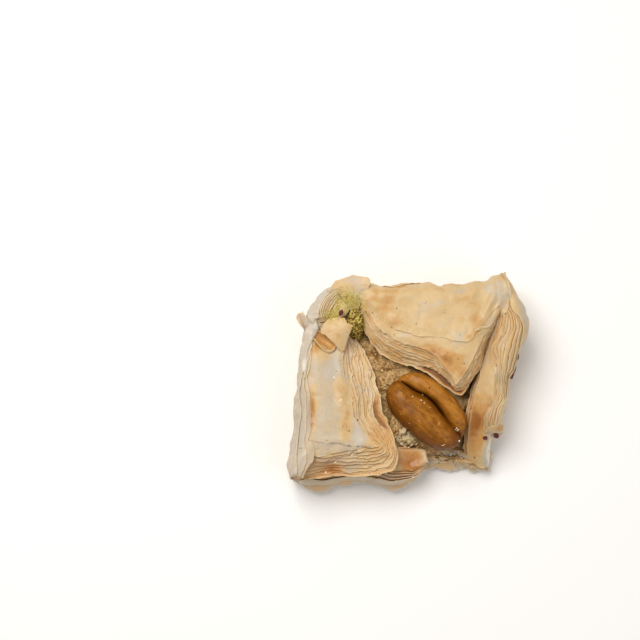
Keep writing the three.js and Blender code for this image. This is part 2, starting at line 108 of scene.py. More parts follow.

# Seen from above, the folds run anticlockwise round the parcel, and every line follows its fold from start
# to end. A fold is given by its outermost line, and its crest, rim and reach by values at even distances
# along it. `low` is the free edge of a flap's lowest sheet, `top` that of its topmost and `skin` that of
# one more on top. `torn` lines are where the outer sheets end, from the outermost in. At a `parting`, the
# lowest sheet stands off from the rest: by what share, and how dark the shade painted in the gap is. The
# `crevice` values say how much shade is painted under the edges of the sheets above. Tone goes from 0,
# white, over 0.5, golden, to 1, brown.
# Some of a flap's tone patches are real stains; others paint shade in hollows and highlights along folds.
FLAPS = {
    "left": dict(
        fold=[
            (-24.7, 18.6), (-25.2, 15.6), (-26.1, 12.2), (-27.2, 9.4), (-27.7, 5.0), (-27.9, -2.3),
            (-28.2, -7.7), (-28.7, -14.7), (-29.3, -18.8), (-29.2, -22.8),
        ],
        top=[
            (-23.8, 17.2), (-20.0, 14.2), (-16.4, 10.8), (-16.0, 7.3), (-16.0, 4.0), (-15.4, 0.0),
            (-14.2, -4.5), (-13.4, -8.6), (-11.2, -13.0), (-7.1, -16.0), (-12.2, -16.5), (-18.5, -17.8),
            (-21.7, -17.6), (-27.4, -17.0),
        ],
        low=[
            (-23.6, 17.8), (-18.0, 15.8), (-13.6, 12.2), (-11.2, 9.4), (-9.0, 3.8), (-7.4, -3.6),
            (-5.2, -9.6), (-2.5, -16.3), (-2.6, -18.6), (-3.6, -21.4), (-9.0, -22.4), (-15.7, -22.6),
            (-27.6, -23.4),
        ],
        torn=[
            [
                (-24.4, 18.4), (-24.0, 15.9), (-23.2, 15.2), (-22.0, 13.6), (-22.2, 12.6), (-24.0, 10.1),
                (-25.4, 7.1), (-26.0, 4.6), (-26.2, 2.0), (-26.4, -1.6), (-26.8, -3.0), (-26.2, -7.6),
                (-27.0, -11.8), (-27.2, -15.2), (-27.4, -18.0), (-27.4, -20.4), (-27.4, -22.8),
            ],
            [
                (-24.3, 18.3), (-24.0, 15.0), (-22.6, 12.8), (-24.0, 9.4), (-25.4, 4.6), (-25.8, -1.6),
                (-25.8, -3.2), (-25.4, -7.6), (-25.8, -11.8), (-26.2, -15.2), (-26.0, -18.0),
                (-26.2, -20.8), (-26.8, -22.9),
            ],
            [
                (-24.2, 18.2), (-24.2, 14.0), (-24.0, 9.0), (-25.2, 4.0), (-25.6, -1.0), (-25.1, -2.6),
                (-24.8, -7.6), (-24.8, -11.8), (-25.5, -14.8), (-24.8, -17.0), (-24.8, -19.6),
                (-25.8, -20.8), (-26.4, -22.9),
            ],
            [
                (-24.1, 18.1), (-24.0, 14.0), (-24.2, 8.0), (-25.0, 1.0), (-24.4, -6.0), (-24.2, -12.0),
                (-25.2, -14.6), (-23.7, -15.6), (-23.5, -19.2), (-25.0, -20.2), (-25.9, -22.9),
            ],
        ],
        outer_tones=(-0.25, -0.15, 0.1), outer_crevice=0.4, crevice=0.8, loose=0.6,
        crest=(16.4, 17.4, 18.2, 17.4, 16.6), rim=(16.6, 16.8, 17.2, 17.4, 16.4), thick=4.4, sag=0.8,
        fan=10, outer=3, tone=0.29,
        bumps=[
            area(-21.0, 10.2, 3.0, 2.0, turn=-38, rise=-2.6),
            area(-24.0, -7.5, 0.9, 5.0, rise=-0.9),
            area(-24.2, 3.0, 1.6, 5.0, rise=-0.5),
            area(-20.2, -8.0, 2.0, 5.0, rise=0.35),
            area(-16.6, -5.0, 1.6, 6.0, turn=8, rise=0.5),
            area(-13.2, -12.0, 1.5, 2.8, rise=-0.55),
            area(-18.0, 3.0, 1.6, 4.0, turn=12, rise=-0.45),
            area(-20.0, -14.5, 4.0, 1.2, rise=0.4),
        ],
        stains_and_painted_light=[
            # The next two: painted shade in the groove between the white ridge and the face.
            area(-23.8, -7.5, 1.1, 5.6, tone=0.6, sharp=1.6),
            area(-23.9, -8.5, 0.5, 4.4, tone=0.4),
            # The next two: painted shade on the slope beside the hollow.
            area(-23.2, 8.2, 1.4, 3.0, turn=-22, tone=0.5, sharp=1.4),
            area(-21.2, 6.3, 1.8, 1.7, turn=-30, tone=0.4, sharp=1.3),
            area(-23.0, 0.0, 1.3, 3.2, tone=-0.1),
            area(-12.3, -13.2, 1.5, 2.8, turn=14, tone=-0.6, sharp=1.8),
            # Painted highlight: a pale diagonal band.
            area(-18.6, 3.6, 1.8, 3.2, turn=-24, tone=-0.45, sharp=1.4),
            area(-17.0, -1.2, 1.7, 4.0, tone=0.25, sharp=1.4),
            area(-20.3, -6.4, 1.7, 5.0, tone=-0.05, sharp=1.3),
            area(-15.7, -10.4, 1.5, 4.4, turn=-6, tone=0.38, sharp=1.5),
            area(-8.8, -11.0, 1.6, 5.0, turn=12, tone=0.2, sharp=1.4),
            area(-6.0, -15.0, 4.0, 6.0, tone=0.4),
            area(-18.5, -21.3, 2.4, 0.9, tone=0.7, sharp=1.3),
            area(-17.0, -19.8, 4.0, 1.0, tone=-0.25),
        ],
        stir=[area(-16.0, -19.5, 11.0, 3.4, by=0.5)],
        parting=area(-6.4, -7.6, 3.0, 5.4, turn=-22, sharp=1.6, by=0.24, dark=0.9),
    ),
    "bottom": dict(
        fold=[
            (-28.4, -23.4), (-24.6, -24.4), (-19.4, -23.9), (-11.1, -23.4), (-3.2, -24.8), (-0.2, -24.4),
            (2.7, -22.7), (4.5, -20.6),
        ],
        top=[
            (-27.0, -22.4), (-15.0, -18.5), (-4.0, -16.2), (3.4, -16.1), (4.3, -16.7), (4.5, -18.6),
            (4.4, -20.4),
        ],
        low=[
            (-27.0, -21.4), (-15.0, -17.8), (-4.0, -15.6), (3.8, -15.5), (5.0, -16.1), (5.1, -17.8),
            (5.0, -20.0),
        ],
        torn=[
            [
                (-28.2, -23.9), (-24.5, -23.2), (-21.9, -23.4), (-17.4, -22.9), (-11.3, -22.6),
                (-7.7, -23.3), (-3.9, -24.0), (-0.2, -23.9), (2.4, -22.4), (4.2, -20.8),
            ],
            [
                (-27.8, -22.6), (-24.5, -21.9), (-21.9, -22.4), (-17.4, -21.8), (-11.0, -21.6),
                (-6.0, -21.8), (-3.0, -22.9), (1.2, -22.6), (3.6, -20.9),
            ],
        ],
        outer_tones=(0.1, 0.05, 0.25, 0.4), crest=(10.4, 10.8, 9.4), rim=(10.0, 10.0, 9.4), thick=1.6,
        sag=0.0, fan=4, outer=4, tone=0.42,
        bumps=[area(0.4, -19.0, 2.4, 2.8, rise=-0.6), area(4.4, -18.0, 0.7, 3.0, rise=0.3)],
        stains_and_painted_light=[area(0.4, -19.2, 3.6, 4.2, tone=0.5), area(4.8, -18.5, 0.6, 4.0, tone=-0.7)],
        stir=[area(-12.0, -22.0, 14.0, 4.0, by=0.4)],
    ),
    "right": dict(
        fold=[
            (20.9, -20.8), (21.3, -19.3), (21.9, -16.5), (22.9, -13.6), (23.5, -11.1), (23.9, -7.9),
            (24.4, -5.0), (25.0, -1.0), (26.3, 4.2), (27.6, 7.6), (29.4, 11.4), (30.2, 14.6),
            (30.0, 17.4), (29.2, 19.2), (28.2, 20.6), (27.0, 22.6), (26.0, 24.2), (24.8, 26.2),
        ],
        top=[
            (20.5, -20.2), (18.4, -19.8), (16.4, -18.4), (15.1, -17.0), (14.9, -14.0), (15.0, -10.8),
            (15.8, -6.6), (16.6, -2.0), (17.6, 2.0), (18.6, 6.0), (20.0, 10.0), (21.4, 14.0),
            (22.2, 18.0), (22.8, 23.0),
        ],
        low=[
            (20.6, -20.5), (18.4, -20.2), (16.6, -19.2), (14.9, -18.0), (14.2, -17.0), (14.1, -14.0),
            (14.2, -11.4), (14.5, -7.0), (15.4, -2.5), (16.2, 1.5), (17.4, 5.0), (18.6, 9.0),
            (20.0, 13.0), (20.8, 17.5), (21.8, 23.4),
        ],
        torn=[
            [
                (24.4, -22.0), (25.2, -12.8), (23.6, -11.8), (22.6, -11.5), (21.8, -11.0), (21.4, -9.7),
                (21.4, -8.1), (21.9, -6.1), (22.8, -4.8), (24.0, -3.2), (24.4, 0.0), (25.0, 1.5),
                (26.2, 5.5), (26.8, 8.5), (27.1, 11.0), (27.3, 13.2), (26.8, 15.3), (25.5, 16.8),
                (25.1, 18.4), (25.0, 21.0), (24.3, 24.6),
            ],
            [
                (24.4, -22.0), (25.2, -13.0), (23.5, -12.0), (22.2, -11.8), (21.0, -11.5), (20.5, -10.6),
                (20.4, -9.8), (20.5, -8.1), (20.9, -6.7), (21.9, -5.2), (23.0, -3.2), (23.2, 0.0),
                (22.4, 3.7), (22.7, 6.6), (23.5, 8.9), (24.5, 10.8), (25.3, 12.7), (25.4, 15.1),
                (24.7, 17.6), (24.5, 20.6), (23.9, 24.2),
            ],
            [
                (24.4, -22.0), (25.2, -13.2), (23.4, -12.2), (21.4, -12.0), (20.0, -11.8), (19.3, -11.0),
                (19.2, -9.8), (19.1, -8.5), (19.5, -7.1), (20.5, -6.0), (22.0, -4.0), (22.6, -1.0),
                (21.9, 3.3), (21.0, 6.1), (20.9, 8.5), (22.2, 9.9), (23.2, 12.3), (23.9, 15.1),
                (24.0, 17.5), (24.0, 20.5), (23.6, 24.4),
            ],
            [
                (24.4, -22.0), (25.2, -13.4), (23.2, -12.4), (21.0, -12.3), (19.3, -12.2), (18.6, -11.4),
                (18.4, -10.0), (18.5, -8.1), (18.9, -6.6), (20.0, -5.3), (21.6, -3.2), (22.2, -1.0),
                (21.2, 2.0), (19.8, 4.6), (19.6, 7.1), (20.3, 8.9), (21.3, 10.8), (22.4, 14.0),
                (23.0, 16.8), (23.3, 20.0), (23.2, 24.4),
            ],
        ],
        outer_tones=(0.48, 0.42, 0.38, 0.5, 0.45, 0.4, 0.5, 0.45, 0.55, 0.5),
        crest=(4.0, 9.0, 14.0, 15.6, 17.0, 17.8, 18.2, 18.0, 17.6),
        rim=(3.4, 8.0, 12.4, 13.2, 13.4, 14.4, 16.0, 17.0, 17.2), thick=2.0, sag=-0.3, fan=5, outer=10,
        reach=(2.6, 3.2, 4.0, 4.6, 4.6, 5.0, 5.6, 6.0, 6.0), tone=0.5,
        bumps=[
            area(20.5, 1.5, 2.0, 4.0, rise=0.5),
            area(17.6, -8.0, 1.4, 3.0, rise=-0.3),
            area(24.6, 19.2, 0.9, 2.4, rise=-0.8),
            area(17.4, -16.5, 1.2, 3.0, turn=-10, rise=0.4),
        ],
        stains_and_painted_light=[
            area(16.8, -9.6, 2.4, 4.6, tone=0.75),
            area(19.0, 8.0, 1.6, 5.0, turn=-24, tone=-0.25),
            area(20.0, -4.6, 2.4, 2.4, tone=0.15),
            area(16.0, -15.5, 2.2, 3.2, tone=0.2),
            area(21.5, -16.4, 2.2, 4.8, turn=-6, tone=-1.6, sharp=1.6),
            area(24.6, 12.2, 1.2, 2.4, turn=-30, tone=0.4),
            area(24.6, 19.2, 0.8, 2.2, tone=0.5),
            area(28.4, 17.0, 2.2, 4.0, tone=-0.6),
        ],
    ),
    "top": dict(
        fold=[
            (24.5, 28.0), (22.2, 27.1), (20.2, 26.4), (17.8, 25.5), (14.7, 25.0), (11.8, 24.6),
            (7.3, 24.6), (3.6, 25.3), (0.3, 25.5), (-3.0, 25.4), (-6.3, 25.4), (-9.6, 25.4),
            (-15.6, 25.8),
        ],
        skin=[
            (24.0, 27.2), (23.6, 22.0), (22.4, 18.7), (19.3, 14.6), (16.0, 10.6), (15.0, 9.4),
            (11.1, 9.8), (6.7, 10.6), (2.0, 10.6), (-3.0, 12.4), (-7.0, 15.4), (-10.2, 20.0),
            (-12.1, 23.0), (-13.0, 25.2),
        ],
        top=[
            (24.2, 26.8), (23.5, 19.8), (21.2, 14.4), (18.4, 10.7), (16.2, 7.0), (14.5, 3.4),
            (12.6, -0.4), (11.3, -1.2), (9.3, 2.3), (7.0, 5.8), (4.4, 7.5), (0.7, 8.7), (-3.5, 10.4),
            (-7.5, 13.4), (-11.0, 18.8), (-13.4, 23.4), (-14.4, 25.2),
        ],
        low=[
            (24.6, 26.2), (24.4, 20.2), (22.4, 14.4), (20.2, 10.2), (18.4, 6.9), (17.2, 3.2),
            (15.4, -0.3), (13.4, -3.0), (11.6, -3.2), (7.9, -0.6), (4.2, 2.5), (0.6, 4.2), (-3.3, 5.4),
            (-7.3, 7.8), (-10.0, 11.6), (-12.4, 15.8), (-14.6, 20.0), (-16.0, 24.6),
        ],
        torn=[
            [
                (24.4, 28.6), (17.0, 26.6), (11.0, 25.6), (6.0, 25.2), (2.0, 25.0), (-1.2, 24.4),
                (-2.4, 24.0), (-4.0, 24.5), (-8.0, 25.2), (-12.0, 26.0), (-15.4, 26.2),
            ],
        ],
        outer_tones=(0.4,), crest=(18.6, 20.0, 19.6, 18.8, 18.4), rim=(18.4, 18.6, 18.0, 17.9, 18.0),
        thick=4.4, sag=-0.6, fan=11, outer=1, crevice=0.55, tone=0.48,
        parting=area(8.4, -0.2, 6.6, 3.0, turn=-45, sharp=1.6, by=0.5, dark=1.0),
        bumps=[
            area(-5.0, 21.5, 5.0, 2.0, turn=-8, rise=0.7),
            area(-1.0, 17.8, 5.0, 1.6, turn=-6, rise=-0.45),
            area(8.0, 20.0, 4.0, 5.0, rise=0.45),
            area(16.5, 21.0, 2.4, 4.0, turn=-25, rise=-0.4),
            area(15.6, 21.4, 0.7, 2.0, turn=-30, rise=0.5),
            area(22.0, 18.6, 0.5, 3.0, turn=-22, rise=0.4),
            area(19.6, 19.0, 0.9, 5.0, turn=-28, rise=0.55),
            area(17.6, 17.0, 0.8, 4.0, turn=-28, rise=-0.4),
            area(21.4, 17.6, 0.7, 3.4, turn=-28, rise=-0.35),
            area(8.6, 6.4, 3.0, 2.0, turn=-20, rise=0.3),
            area(-8.6, 18.6, 1.0, 3.0, turn=35, rise=0.35),
        ],
        stains_and_painted_light=[
            area(10.2, 4.0, 2.4, 3.6, turn=30, tone=0.5),
            area(5.6, 7.2, 5.0, 1.5, turn=-20, tone=0.65),
            area(12.0, -2.0, 2.4, 2.0, tone=0.14),
            area(16.0, 12.0, 1.6, 3.0, turn=-30, tone=0.12),
            area(2.0, 23.0, 9.0, 1.4, tone=0.2),
            area(-2.0, 24.3, 1.3, 0.45, tone=0.6),
            # Painted shade beside a fold at the top edge.
            area(14.4, 21.0, 0.9, 1.7, turn=-30, tone=0.25, sharp=1.4),
            area(15.6, 14.6, 3.2, 1.3, tone=0.22),
            # Painted highlight along the fold at the top edge.
            area(12.4, 22.2, 2.6, 0.9, turn=-6, tone=-0.3),
            area(-4.6, 16.2, 3.4, 3.0, turn=-20, tone=0.2, sharp=1.4),
            area(-7.0, 20.6, 3.4, 2.4, tone=0.1),
            area(14.2, 10.4, 1.0, 0.6, tone=0.4),
            area(6.5, 18.5, 3.4, 3.0, tone=-0.2),
            area(1.0, 17.5, 4.0, 2.0, tone=-0.18),
            area(20.0, 20.5, 2.0, 4.0, tone=-0.12),
            area(0.0, 13.5, 7.0, 1.4, turn=-10, tone=0.1),
        ],
    ),
    "corner": dict(
        fold=[
            (-14.0, 26.4), (-17.6, 25.2), (-20.2, 24.0), (-22.4, 22.4), (-24.0, 20.8), (-24.9, 18.8),
            (-25.3, 16.6),
        ],
        top=[(-14.6, 22.2), (-14.2, 19.4), (-15.2, 16.9), (-17.6, 15.2), (-20.6, 14.6), (-23.4, 15.4)],
        low=[(-14.4, 22.0), (-13.0, 18.6), (-13.6, 15.8), (-16.6, 13.8), (-20.6, 13.4), (-23.6, 14.8)],
        torn=[
            [
                (-14.8, 24.6), (-17.2, 23.7), (-19.3, 22.4), (-20.8, 20.8), (-21.6, 19.0), (-21.9, 17.0),
                (-22.2, 15.4),
            ],
            [(-15.0, 23.7), (-17.3, 22.8), (-19.1, 21.4), (-20.4, 19.8), (-21.0, 17.8), (-21.3, 15.6)],
            [(-15.2, 22.6), (-17.1, 21.9), (-18.4, 20.9), (-19.4, 19.6), (-20.0, 18.0), (-20.5, 16.0)],
            [(-15.4, 21.6), (-17.0, 20.9), (-18.1, 19.7), (-18.9, 18.4), (-19.4, 17.0), (-19.9, 15.8)],
        ],
        outer_tones=(-0.3, -0.1, 0.15, 0.15, 0.25, 0.25), outer_crevice=0.7, crest=(17.8, 17.4, 16.4),
        rim=(17.8, 17.4, 16.8), thick=3.6, sag=0.2, rough=0.35, fan=5, outer=6, reach=(3.0, 4.0, 3.4),
        tone=0.3,
    ),
}

BASE_CORNERS = [
    (-23.0, 16.0), (-25.6, -19.6), (3.4, -19.8), (12.0, -19.6), (19.4, -20.2), (20.6, -17.0),
    (21.2, -12.0), (24.0, 0.0), (26.2, 8.0), (22.6, 24.0), (-16.5, 22.8),
]

FILLING = dict(centre=(-1.6, 1.6), reach=(22.2, 18.6), squareness=3, height=5.0, rim_height=0.9, floor=4.95)

# The kernel's two halves lie side by side. Widths are measured across it, to the left of its long axis. The
# far side's and the near ridge's also change towards its far end. The cleft is given at shares of the half
# length.
NUT = dict(
    half_length=11.1,
    centre=(4.3, -7.2, 12.2),
    heading=-41.5,
    dip=5,
    roundness=2.6,
    apex=0.2,
    cleft=[
        (-1.0, 1.5), (-0.86, 1.6), (-0.73, 1.9), (-0.6, 2.1), (-0.49, 2.3), (-0.31, 3.0), (-0.13, 3.2),
        (0.02, 3.1), (0.16, 2.8), (0.31, 2.5), (0.42, 2.2), (0.51, 1.8), (0.7, 1.3), (0.86, 1.5),
        (1.0, 1.5),
    ],
    near_side=-6.2,
    far_side=(7.6, -0.3),
    near_ridge=(-1.6, -0.3),
    groove=1.6,
    near_up=5.0,
    far_up=4.5,
    down=4.8,
    gap=0.08,
)

# Where syrup and pistachio dust lie, seen from above.
WET = [
    area(0.8, -19.4, 3.2, 3.4, much=1.0),
    area(-18.8, -20.8, 3.6, 1.6, much=1.0),
    area(-24.0, -7.0, 1.0, 5.0, much=0.5),
    area(-16.4, -3.0, 1.6, 3.0, much=0.4),
    area(18.0, -9.0, 2.4, 3.0, much=0.3),
]
DUSTED = [
    area(-15.0, 20.4, 2.6, 1.7, turn=-12, much=0.8),
    area(-17.4, 17.6, 1.5, 2.2, turn=-50, much=0.7),
    area(-12.8, 17.4, 1.4, 2.8, turn=8, much=0.75),
    area(-19.4, 16.4, 1.7, 1.0, much=0.8),
    area(-12.6, 14.0, 1.1, 1.6, much=0.9),
]
HEAP = area(-13.3, 15.3, 2.8, 4.7, top=17.2, floor=9.0)
LUMPS = [
    area(-2.6, -11.2, 2.2, 2.0, rise=1.0),
    area(0.4, -13.6, 2.2, 1.3, rise=1.3),
    area(-3.6, 2.5, 2.4, 3.0, rise=0.5),
]
PALE_LUMPS = [
    (-0.7, -13.6), (0.2, -14.0), (0.9, -13.4), (0.3, -12.9), (0.0, -11.9), (-1.1, -12.9), (1.5, -13.9),
    (-1.4, -11.4),
]
DROPS = [
    (-18.3, 1.1), (-16.6, -3.4), (-21.5, -6.6), (-24.3, -15.0), (-13.1, -18.0), (-19.1, -19.8),
    (-20.3, -21.4), (-17.5, -20.0), (-16.9, -4.6), (-14.1, -17.8), (-1.8, 0.3), (0.8, -4.2), (2.8, -4.6),
    (3.6, -2.8), (3.6, -5.2), (11.6, -11.3), (12.0, -11.7), (8.3, -15.2), (12.3, -14.1), (7.2, -10.1),
    (2.2, -19.7), (0.7, -20.9), (1.1, -22.9), (-18.0, -19.4), (-17.0, -20.6),
]
SPECKS = [
    (-17.8, 2.7), (-26.3, -16.4), (-14.8, -12.1), (8.6, 16.5), (-15.3, 21.1), (-5.9, 0.4), (-8.1, 0.4),
    (-9.7, 3.3), (16.3, -15.4), (-16.3, -11.3), (3.9, 18.8), (-3.1, 17.7), (14.8, 10.1),
]
# Petal bits: x, y, half length, half width, turn, the slope across it, and a height where none lies below.
PETALS = [
    (-16.7, 16.7, 0.75, 0.42, 65, 0.0, 18.9),
    (27.1, 4.6, 2.6, 0.9, 80, 1.5, 5.4),
    (27.9, 7.4, 1.5, 0.8, 70, 1.5, 5.6),
    (19.0, -13.3, 0.5, 0.42, 10, 0.0, None),
    (21.9, -12.7, 0.6, 0.8, 50, 0.9, 9.8),
]

# Loose leaves of phyllo: a closed rim, and the middle from which the leaf spreads.
LEAVES = [
    dict(  # torn over the hollow
        rim=[
            (-21.6, 12.9, 17.7), (-21.7, 11.7, 17.7), (-20.4, 11.2, 17.9), (-19.6, 10.4, 18.0),
            (-18.9, 9.8, 17.9), (-17.9, 8.8, 17.6), (-17.4, 7.8, 17.1), (-16.4, 7.2, 16.6),
            (-15.5, 8.0, 16.3), (-15.2, 9.6, 16.7), (-14.7, 11.0, 17.3), (-14.0, 12.6, 17.8),
            (-13.8, 13.8, 18.2), (-15.2, 14.3, 18.4), (-15.7, 15.7, 18.2), (-17.7, 15.9, 17.9),
            (-20.0, 15.4, 17.6), (-21.2, 14.2, 17.6),
        ],
        middle=(-17.8, 12.6, 18.7), tone=0.67,
    ),
    dict(  # inside of the hollow
        rim=[
            (-23.8, 11.2, 16.6), (-22.8, 9.9, 17.0), (-21.8, 9.0, 17.2), (-20.6, 8.2, 17.2),
            (-19.6, 7.6, 17.1), (-18.8, 7.8, 17.0), (-17.8, 8.9, 16.8), (-19.0, 11.0, 16.9),
            (-21.2, 12.4, 16.9), (-22.8, 12.4, 16.8),
        ],
        middle=(-20.6, 10.2, 15.4), tone=0.95, power=2.0,
    ),
    dict(  # fragment outside the left fold
        rim=[
            (-27.6, 16.9, 15.4), (-27.8, 16.0, 15.0), (-27.2, 14.9, 15.2), (-26.3, 13.9, 14.8),
            (-25.7, 13.1, 14.6), (-25.2, 15.0, 15.4), (-25.8, 16.8, 15.8), (-26.8, 17.2, 15.9),
        ],
        middle=(-26.5, 15.6, 15.4), tone=0.1, crumple=0.4,
    ),
    dict(  # white at the upper corner
        rim=[
            (-20.2, 22.4, 17.8), (-17.6, 21.9, 18.3), (-15.6, 19.4, 17.6), (-14.4, 17.4, 16.4),
            (-12.4, 17.8, 16.6), (-11.4, 20.0, 17.8), (-10.6, 22.0, 18.8), (-9.2, 23.9, 19.4),
            (-9.6, 25.4, 19.4), (-13.8, 26.2, 18.8), (-18.0, 25.0, 17.8),
        ],
        middle=(-14.8, 23.8, 19.4), tone=0.12,
    ),
]


# Loose strips: the line along which a strip is held, and its free edge to that line's right. `shadow` is how
# much shade is painted towards the held line.
STRIPS = [
    dict(  # lowest sheet in front
        held=[
            (-28.8, -20.8, 7.6), (-24.3, -22.0, 7.6), (-17.2, -21.8, 7.4), (-11.0, -21.6, 7.2),
            (-5.0, -22.0, 7.0), (0.0, -22.0, 6.6), (3.6, -20.6, 6.2),
        ],
        free=[
            (-28.9, -22.0, 4.6), (-27.6, -24.2, 4.0), (-25.1, -25.7, 3.7), (-21.6, -26.3, 3.6),
            (-19.9, -25.7, 3.4), (-18.0, -24.7, 3.4), (-15.3, -24.7, 3.4), (-13.0, -23.9, 3.6),
            (-9.7, -24.2, 3.6), (-7.0, -24.9, 3.6), (-3.8, -26.1, 3.4), (-1.0, -25.3, 3.4),
            (2.6, -23.0, 3.4), (4.2, -20.8, 3.6),
        ],
        tone=0.3, rim_tone=-0.7, shadow=0.9, bulge=0.4, ragged=0.45,
    ),
    dict(  # second sheet in front
        held=[
            (-20.6, -21.6, 8.0), (-15.0, -21.4, 7.8), (-8.0, -21.4, 7.6), (0.0, -21.4, 7.2),
            (3.4, -20.0, 6.8),
        ],
        free=[
            (-20.4, -23.8, 6.0), (-18.2, -23.3, 6.0), (-16.1, -22.8, 6.2), (-13.4, -22.8, 6.2),
            (-10.3, -23.1, 6.0), (-7.7, -23.7, 5.8), (-4.8, -24.4, 5.6), (-1.0, -24.1, 5.4),
            (2.4, -22.4, 5.4), (4.3, -20.4, 5.4),
        ],
        tone=0.5, rim_tone=-0.1, shadow=0.7, bulge=0.3, ragged=0.45,
    ),
    dict(  # bottom sheet of the open base
        held=[
            (3.6, -18.4, 3.6), (9.0, -17.6, 3.9), (14.0, -17.8, 3.6), (17.0, -18.6, 3.0),
            (19.2, -18.6, 3.0), (20.0, -17.6, 3.6), (20.4, -15.0, 4.6),
        ],
        free=[
            (3.8, -20.6, 2.0), (5.6, -21.0, 1.6), (8.4, -20.3, 1.6), (11.7, -20.9, 1.4),
            (14.3, -19.9, 1.4), (15.2, -20.2, 1.3), (17.0, -20.9, 1.2), (18.2, -21.2, 1.0),
            (20.0, -21.2, 1.0), (21.4, -20.3, 1.0), (21.8, -18.4, 1.6), (21.9, -16.6, 2.6),
        ],
        tone=0.4, rim_tone=-0.9, shadow=0.5, bulge=0.2, ragged=0.9,
    ),
    dict(  # middle sheet of the open base
        held=[(3.6, -17.4, 4.7), (9.0, -17.0, 4.7), (14.0, -17.4, 4.4), (18.6, -19.0, 3.2)],
        free=[
            (3.8, -19.6, 3.2), (5.0, -19.5, 3.0), (8.2, -19.9, 2.8), (9.8, -18.8, 3.2),
            (12.4, -18.5, 3.2), (14.9, -19.4, 2.7), (17.3, -20.5, 2.0), (19.2, -20.9, 1.8),
        ],
        tone=0.18, rim_tone=-0.95, shadow=1.0, bulge=0.25, ragged=0.9,
    ),
    dict(  # upper sheet of the open base
        held=[
            (7.0, -15.4, 5.3), (10.0, -15.2, 5.4), (13.2, -15.6, 5.4), (16.0, -16.6, 5.2),
            (18.8, -18.4, 4.0),
        ],
        free=[
            (7.4, -16.8, 4.9), (9.8, -16.7, 5.1), (12.3, -17.0, 5.1), (14.8, -17.9, 4.6),
            (16.4, -18.6, 4.1), (18.4, -20.0, 3.0),
        ],
        tone=0.12, rim_tone=-0.8, shadow=1.0, bulge=0.2, ragged=0.8,
    ),
    dict(  # first ridge of the torn curl
        held=[(15.4, 12.2, 0.0), (17.0, 13.4, 0.0), (19.0, 13.6, 0.0), (20.6, 14.9, 0.0)],
        free=[(15.9, 11.7, 0.2), (17.3, 12.6, 0.35), (19.2, 12.9, 0.35), (21.0, 14.3, 0.2)],
        tone=0.55, rim_tone=0.3, shadow=0.3, bulge=0.1, ragged=0.3, resting=True,
    ),
    dict(  # second ridge of the torn curl
        held=[(15.6, 11.2, 0.0), (17.2, 12.2, 0.0), (19.2, 12.4, 0.0), (20.8, 13.5, 0.0)],
        free=[(16.1, 10.6, 0.15), (17.6, 11.4, 0.3), (19.5, 11.7, 0.3), (21.2, 12.9, 0.1)],
        tone=0.5, rim_tone=0.3, shadow=0.4, bulge=0.1, ragged=0.4, resting=True,
    ),
    dict(  # lip of the hollow
        held=[
            (-18.0, 8.0, 16.6), (-18.8, 7.1, 16.7), (-19.8, 6.9, 16.9), (-21.6, 7.9, 17.0),
            (-22.7, 9.2, 16.8), (-23.5, 10.5, 16.5),
        ],
        free=[
            (-18.2, 8.5, 16.8), (-18.9, 7.8, 17.2), (-19.6, 7.4, 17.4), (-21.3, 8.3, 17.5),
            (-22.4, 9.5, 17.3), (-23.2, 10.7, 16.8),
        ],
        tone=0.7, rim_tone=0.45, shadow=0.3, bulge=0.1, ragged=0.1,
    ),
    dict(  # over the seam between the upper and the right flap
        held=[(22.7, 16.0, 0.1), (21.8, 19.0, 0.1), (21.4, 22.0, 0.1), (21.0, 25.2, 0.1)],
        free=[
            (23.1, 16.0, 0.1), (24.7, 18.6, 0.15), (25.2, 21.4, 0.15), (24.6, 23.6, 0.15),
            (23.3, 25.7, 0.1),
        ],
        tone=0.4, rim_tone=0.3, shadow=0.0, bulge=0.1, ragged=0.5, resting=True,
    ),
    dict(  # cuff round the lower end of the right flap's sheets
        held=[(19.0, -10.8, 0.1), (20.4, -10.6, 0.1), (22.0, -10.4, 0.1), (23.5, -10.2, 0.1)],
        free=[(18.8, -12.0, 0.15), (20.4, -12.2, 0.2), (22.2, -12.1, 0.2), (23.5, -11.9, 0.1)],
        tone=0.55, rim_tone=0.25, shadow=0.2, bulge=0.1, ragged=0.3, resting=True,
    ),
    dict(  # white band along the left fold's upper end
        held=[
            (-22.8, 15.4, 0.1), (-21.9, 12.9, 0.1), (-23.2, 11.2, 0.1), (-24.2, 9.4, 0.1),
            (-25.0, 6.8, 0.1), (-25.6, 2.2, 0.1),
        ],
        free=[
            (-24.6, 15.6, 0.2), (-25.2, 12.8, 0.2), (-25.7, 10.2, 0.15), (-26.4, 8.6, 0.15),
            (-26.6, 5.4, 0.15), (-26.1, 2.0, 0.1),
        ],
        tone=-0.25, rim_tone=-0.15, shadow=0.0, bulge=0.0, ragged=0.35, resting=True,
    ),
    dict(  # back corner
        held=[(25.8, 23.2, 16.2), (25.0, 25.2, 16.8), (23.6, 26.9, 17.2)],
        free=[(26.4, 23.6, 1.0), (25.8, 26.4, 0.8), (24.2, 28.0, 1.0)],
        tone=0.45, rim_tone=0.2, shadow=0.0, bulge=0.0, ragged=0.8,
    ),
    dict(  # white tip at the left fold's upper end
        held=[(-25.6, 13.6, 15.6), (-26.4, 15.0, 15.8), (-27.0, 16.2, 16.2)],
        free=[(-24.2, 14.2, 17.6), (-25.0, 15.8, 17.4), (-26.3, 17.3, 16.9)],
        tone=-0.1, rim_tone=-0.5, shadow=0.3, bulge=0.2, ragged=0.9,
    ),
]

# ---- Noise ----

LINE_VALUES = 256  # random values along a line, before they repeat
LINE_START = 40  # where among them a line starts
GRID_VALUES = 64  # random values each way over a surface, which starts in their middle


def lerp(a, b, t):
    """The value a share `t` of the way from one value to another."""
    return a + (b - a) * t


def smoothstep(x, low, high):
    """From 0 to 1 as x goes from low to high, with soft ends."""
    t = np.clip((x - low) / (high - low), 0, 1)
    return t * t * (3 - 2 * t)


